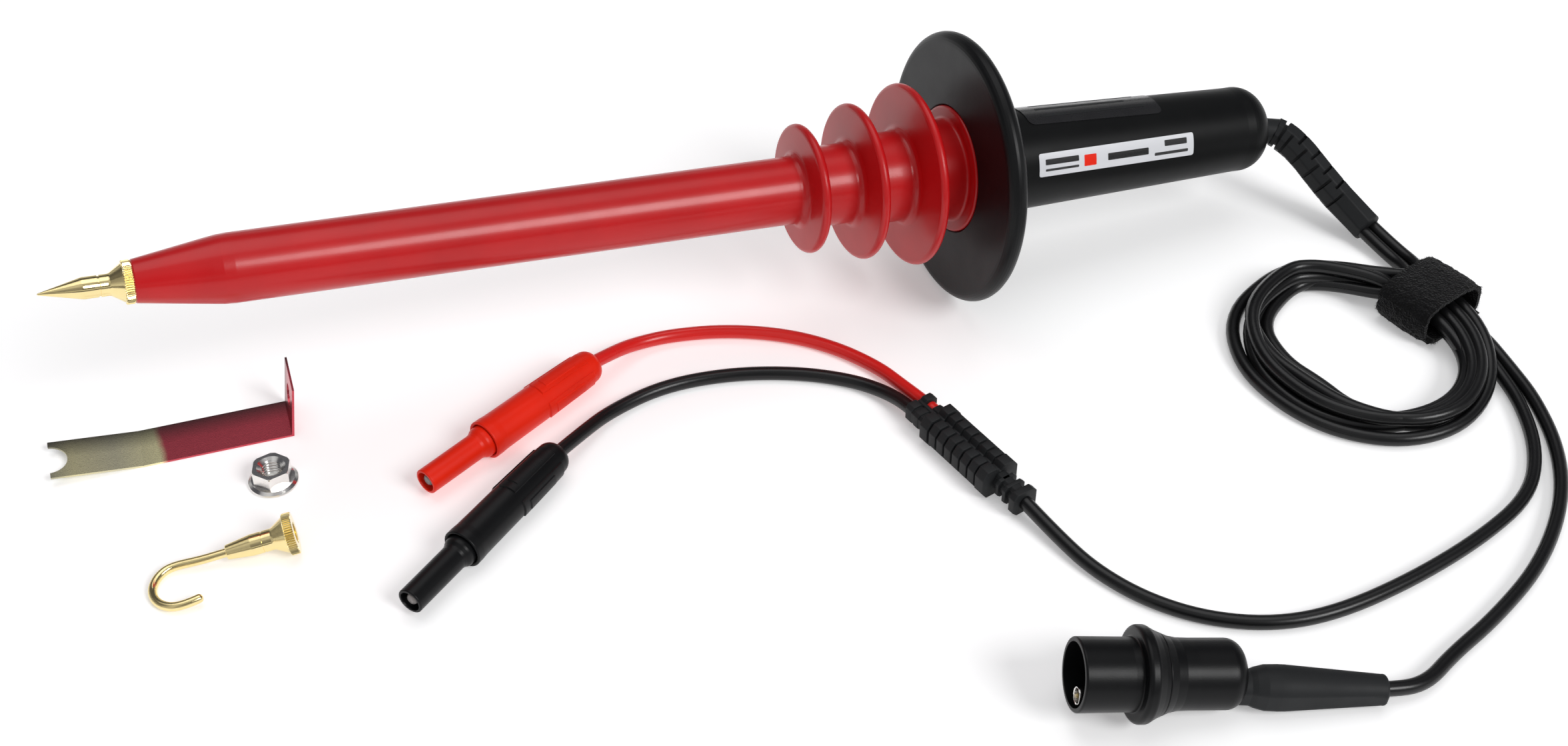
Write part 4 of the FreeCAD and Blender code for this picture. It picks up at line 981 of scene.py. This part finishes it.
def plug(colour, place):
    """A shrouded 4 mm plug: sliding sheath, body with grips, pin, cap and spring."""
    plastic = colour + "_plastic"
    sheath = ([(0.0, 3.05)] + arc((0.35, 3.45), 0.35, 180, 90, 3) + [(18.6, 3.8)]
              + [(19.4, 4.0), (20.4, 4.55), (21.0, 4.7), (29.6, 4.7), (30.0, 4.4), (30.0, 2.65),
                 (5.0, 2.65), (4.4, 2.8), (0.4, 2.9), (0.0, 3.05)])
    sheath_piece = turned(colour + "_sheath_tube", sheath, place, colour + "_sheath", plastic,
                          colour + "_sheath", segments=64)
    body = ([(25.2, 4.95), (22.3, 5.05)] + arc((22.45, 5.5), 0.42, 200, 90, 5)
            + [(24.5, 5.9), (26.5, 5.75), (30.0, 5.7), (42.4, 5.6), (42.9, 5.58), (43.1, 5.57),
               (45.4, 5.5), (45.6, 5.5), (56.9, 5.25), (57.1, 5.25), (61.3, 5.1), (61.6, 5.1),
               (63.0, 5.0)]
            + arc((63.0, 1.6), 3.4, 88, 20, 8)
            + [(66.45, 2.3), (66.45, 0.0), (53.05, 0.0), (53.05, 2.05), (50.2, 2.05),
               (50.2, 4.95), (25.2, 4.95)])
    body_piece = turned(colour + "_grip", body, place, "probe", plastic, colour + "_plug_body",
                        segments=144, shape=grip_shape, smooth=30.0)
    pin = [(1.7, 0.0), (1.7, 1.75), (1.9, 1.98), (53.0, 1.98), (53.0, 0.0)]
    pin_piece = turned(colour + "_contact_pin", pin, place, "probe", "bright_nickel",
                       colour + "_plug_pin", segments=48)
    cap = [(0.5, 0.0)] + arc((1.3, 0.9), 0.8, 178, 90, 6) + [(1.7, 1.75), (1.7, 0.0)]
    cap_piece = turned(colour + "_cap", cap, place, "probe", "frosted_cap", colour + "_pin_cap",
                       segments=48)
    spring_piece = coil_spring(colour + "_spring", place, "probe", "spring_steel", 30.05,
                               SPRING_SEAT, 3.05, 0.3, 9, colour + "_sheath_spring")
    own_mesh(spring_piece)
    return [sheath_piece, body_piece, pin_piece, cap_piece, spring_piece]


red_pieces = plug("red", RED_PLUG)
black_pieces = plug("black", BLACK_PLUG)

# ---------------------------------------------------------------- coaxial connector
shroud = ([(0.0, 8.35)] + arc((0.5, 9.05), 0.5, 180, 90, 4) + [(13.0, 9.4), (14.9, 9.5)]
          + [(15.15, 9.8), (15.3, 11.4)] + arc((16.5, 11.3), 1.2, 170, 90, 6)
          + arc((17.6, 10.9), 1.6, 85, 50, 4) + [(20.3, 11.2), (21.5, 10.7), (21.5, 8.2),
             (6.0, 8.2), (0.4, 8.3), (0.0, 8.35)])
shroud_piece = turned("shroud_ring", shroud, CONNECTOR, "connector_shroud", "black_plastic",
                      "connector_shroud")
housing = ([(14.0, 0.0), (14.0, 8.1), (21.7, 8.1), (21.7, 10.5), (21.9, 10.55), (24.0, 9.7),
            (26.5, 9.2), (30.0, 9.1), (39.0, 9.1)] + arc((39.5, 4.8), 4.3, 88, 8, 10)
           + [(43.9, 5.0), (43.9, 0.0)])
housing_piece = turned("connector_shell", housing, CONNECTOR, "probe", "black_plastic",
                       "connector_housing")


def flattened(along, radius, angle):
    """Flats on the two sides of the boot, shallower at its tail."""
    if radius < 1.0:
        return radius
    limit = 0.9 * radius if along < 37 else 0.95 * radius
    return min(radius, limit / max(0.05, abs(math.cos(angle))))


boot = ([(0.0, 0.0), (0.0, 4.5), (4.0, 4.6), (5.4, 5.2), (8.0, 5.85), (11.5, 5.95)]
        + [(station, 5.9 - 1.9 * (station - 13.5) / 25.0) for station in stations(13.5, 38.4, 8)]
        + arc((38.7, 3.1), 0.95, 80, 20, 4) + [(40.0, 2.2), (40.0, 0.0)])
boot_piece = turned("cable_boot", boot, BOOT, "probe", "black_rubber", "connector_boot",
                    shape=flattened, smooth=35.0)
# The metal contact lies off the connector's axis.
CONTACT_OFF_AXIS = 5.3
CONTACT = (CONNECTOR @ Matrix.Rotation(math.radians(-38.0), 4, "X")
           @ Matrix.Translation(Vector((0, 0, -CONTACT_OFF_AXIS)) * MM))
sleeve = [(17.0, 1.9), (17.0, 2.4), (1.2, 2.4), (0.85, 2.3), (0.8, 2.2), (0.95, 1.95), (1.5, 1.9),
          (17.0, 1.9)]
sleeve_piece = turned("contact_tube", sleeve, CONTACT, "probe", "bright_nickel", "contact_sleeve")
insulator = [(16.0, 0.7), (16.0, 1.85), (4.9, 1.85), (4.5, 1.6), (4.5, 1.0), (4.9, 0.7),
             (16.0, 0.7)]
insulator_piece = turned("contact_core", insulator, CONTACT, "probe", "white_insulator",
                         "contact_insulator", segments=64)
signal_pin = ([(1.6, 0.0)] + arc((2.25, 0.0), 0.65, 170, 90, 6) + [(19.0, 0.65), (19.0, 0.0)])
signal_pin_piece = turned("signal_pin", signal_pin, CONTACT, "probe", "gold_plate", "centre_pin",
                          segments=32)

# ---------------------------------------------------------------- loose hook
hook_base = ([(0.0, 2.98), (0.0, 5.5), (0.25, KNOB_RADIUS), (2.3, KNOB_RADIUS), (2.55, 5.5),
              (2.6, 5.15),
              (6.0, 3.15), (6.4, 3.0), (8.65, 3.0), (8.7, 2.8), (9.0, 2.8), (9.05, 3.0),
              (12.1, 3.0), (12.4, 2.95), (18.8, 2.05), (19.0, 1.85), (19.0, 1.3), (14.9, 1.3),
              (14.9, 0.0), (5.0, 0.0), (5.0, 2.98), (0.0, 2.98)])
turned("hook_knob", hook_base, HOOK, "hook", "gold_plate", "hook_base", segments=TEETH * 6,
       shape=knurled(0.1, 2.5, TEETH, 0.5), smooth=28.0)
BEND_RADIUS = 7.9
WIRE_RADIUS = 1.25
WIRE_STEPS = 90
hook_route = ([(15.0, 0, 0), (20.0, 0, 0), (26.0, 0.1, 0)]
              + [(32.0 + BEND_RADIUS * math.sin(math.radians(turn)),
                  6.9 - BEND_RADIUS * math.cos(math.radians(turn)), 0)
                 for turn in range(15, 166, 30)] + [(28.5, 14.1, 0), (26.6, 13.5, 0)])
hook_line = line_of(hook_route)
hook_reach = line_length(hook_line)
# The wire's free end is rounded: (distance from its end, radius).
WIRE_END = [(0.85, 1.22), (0.5, 1.08), (0.2, 0.72), (0.02, 0.2)]
wire_marks = stations(0.0, hook_reach - 1.2, WIRE_STEPS) + [hook_reach - r for r, _ in WIRE_END]
wire_radii = [WIRE_RADIUS] * (WIRE_STEPS + 1) + [radius for _, radius in WIRE_END]
wire_verts, wire_faces = swept_along(hook_line, wire_marks,
                                     lambda index: circle(wire_radii[index]))
make("hook_rod", wire_verts, wire_faces, HOOK, "hook", "gold_plate", "hook_wire", smooth=40.0)

# ---------------------------------------------------------------- flange nut
NUT_UP = NUT @ Matrix.Rotation(math.radians(-90), 4, "Y")
NUT_HALF_FLAT = 5.0
NUT_CORNER = 5.75
NUT_FLANGE_TOP = 1.7
THREAD_OUTER = 3.05
THREAD_INNER = 2.6
THREAD_PITCH = 1.0


def hexagonal(along, radius, angle):
    """The hexagon above the flange, with its corners taken off by a chamfer."""
    if along < NUT_FLANGE_TOP or radius < 4.5:
        return radius
    turn = (angle + math.radians(18.0)) % (math.pi / 3) - math.pi / 6
    flat = NUT_HALF_FLAT / math.cos(turn)
    chamfer = NUT_CORNER - max(0.0, along - 5.6) * 0.9
    return min(flat, chamfer)


nut_profile = ([(0.0, THREAD_OUTER), (0.0, 6.7), (0.25, 7.05), (0.6, 7.1), (1.0, 6.95),
                (NUT_FLANGE_TOP, 6.0), (1.75, 5.8)]
               + [(station, 5.8) for station in stations(2.2, 5.9, 8)]
               + [(6.0, 5.8), (6.0, 4.0), (5.35, 3.1)])
for thread in range(5):
    low = 5.3 - thread * THREAD_PITCH
    nut_profile += [(low, THREAD_OUTER), (low - 0.35, THREAD_INNER), (low - 0.5, THREAD_INNER),
                    (low - 0.85, THREAD_OUTER)]
nut_profile = [point for point in nut_profile if point[0] >= 0.0] + [(0.0, THREAD_OUTER)]
turned("nut", nut_profile, NUT_UP, "flange_nut", "bright_nickel", "flange_nut", segments=180,
       shape=hexagonal, smooth=25.0)
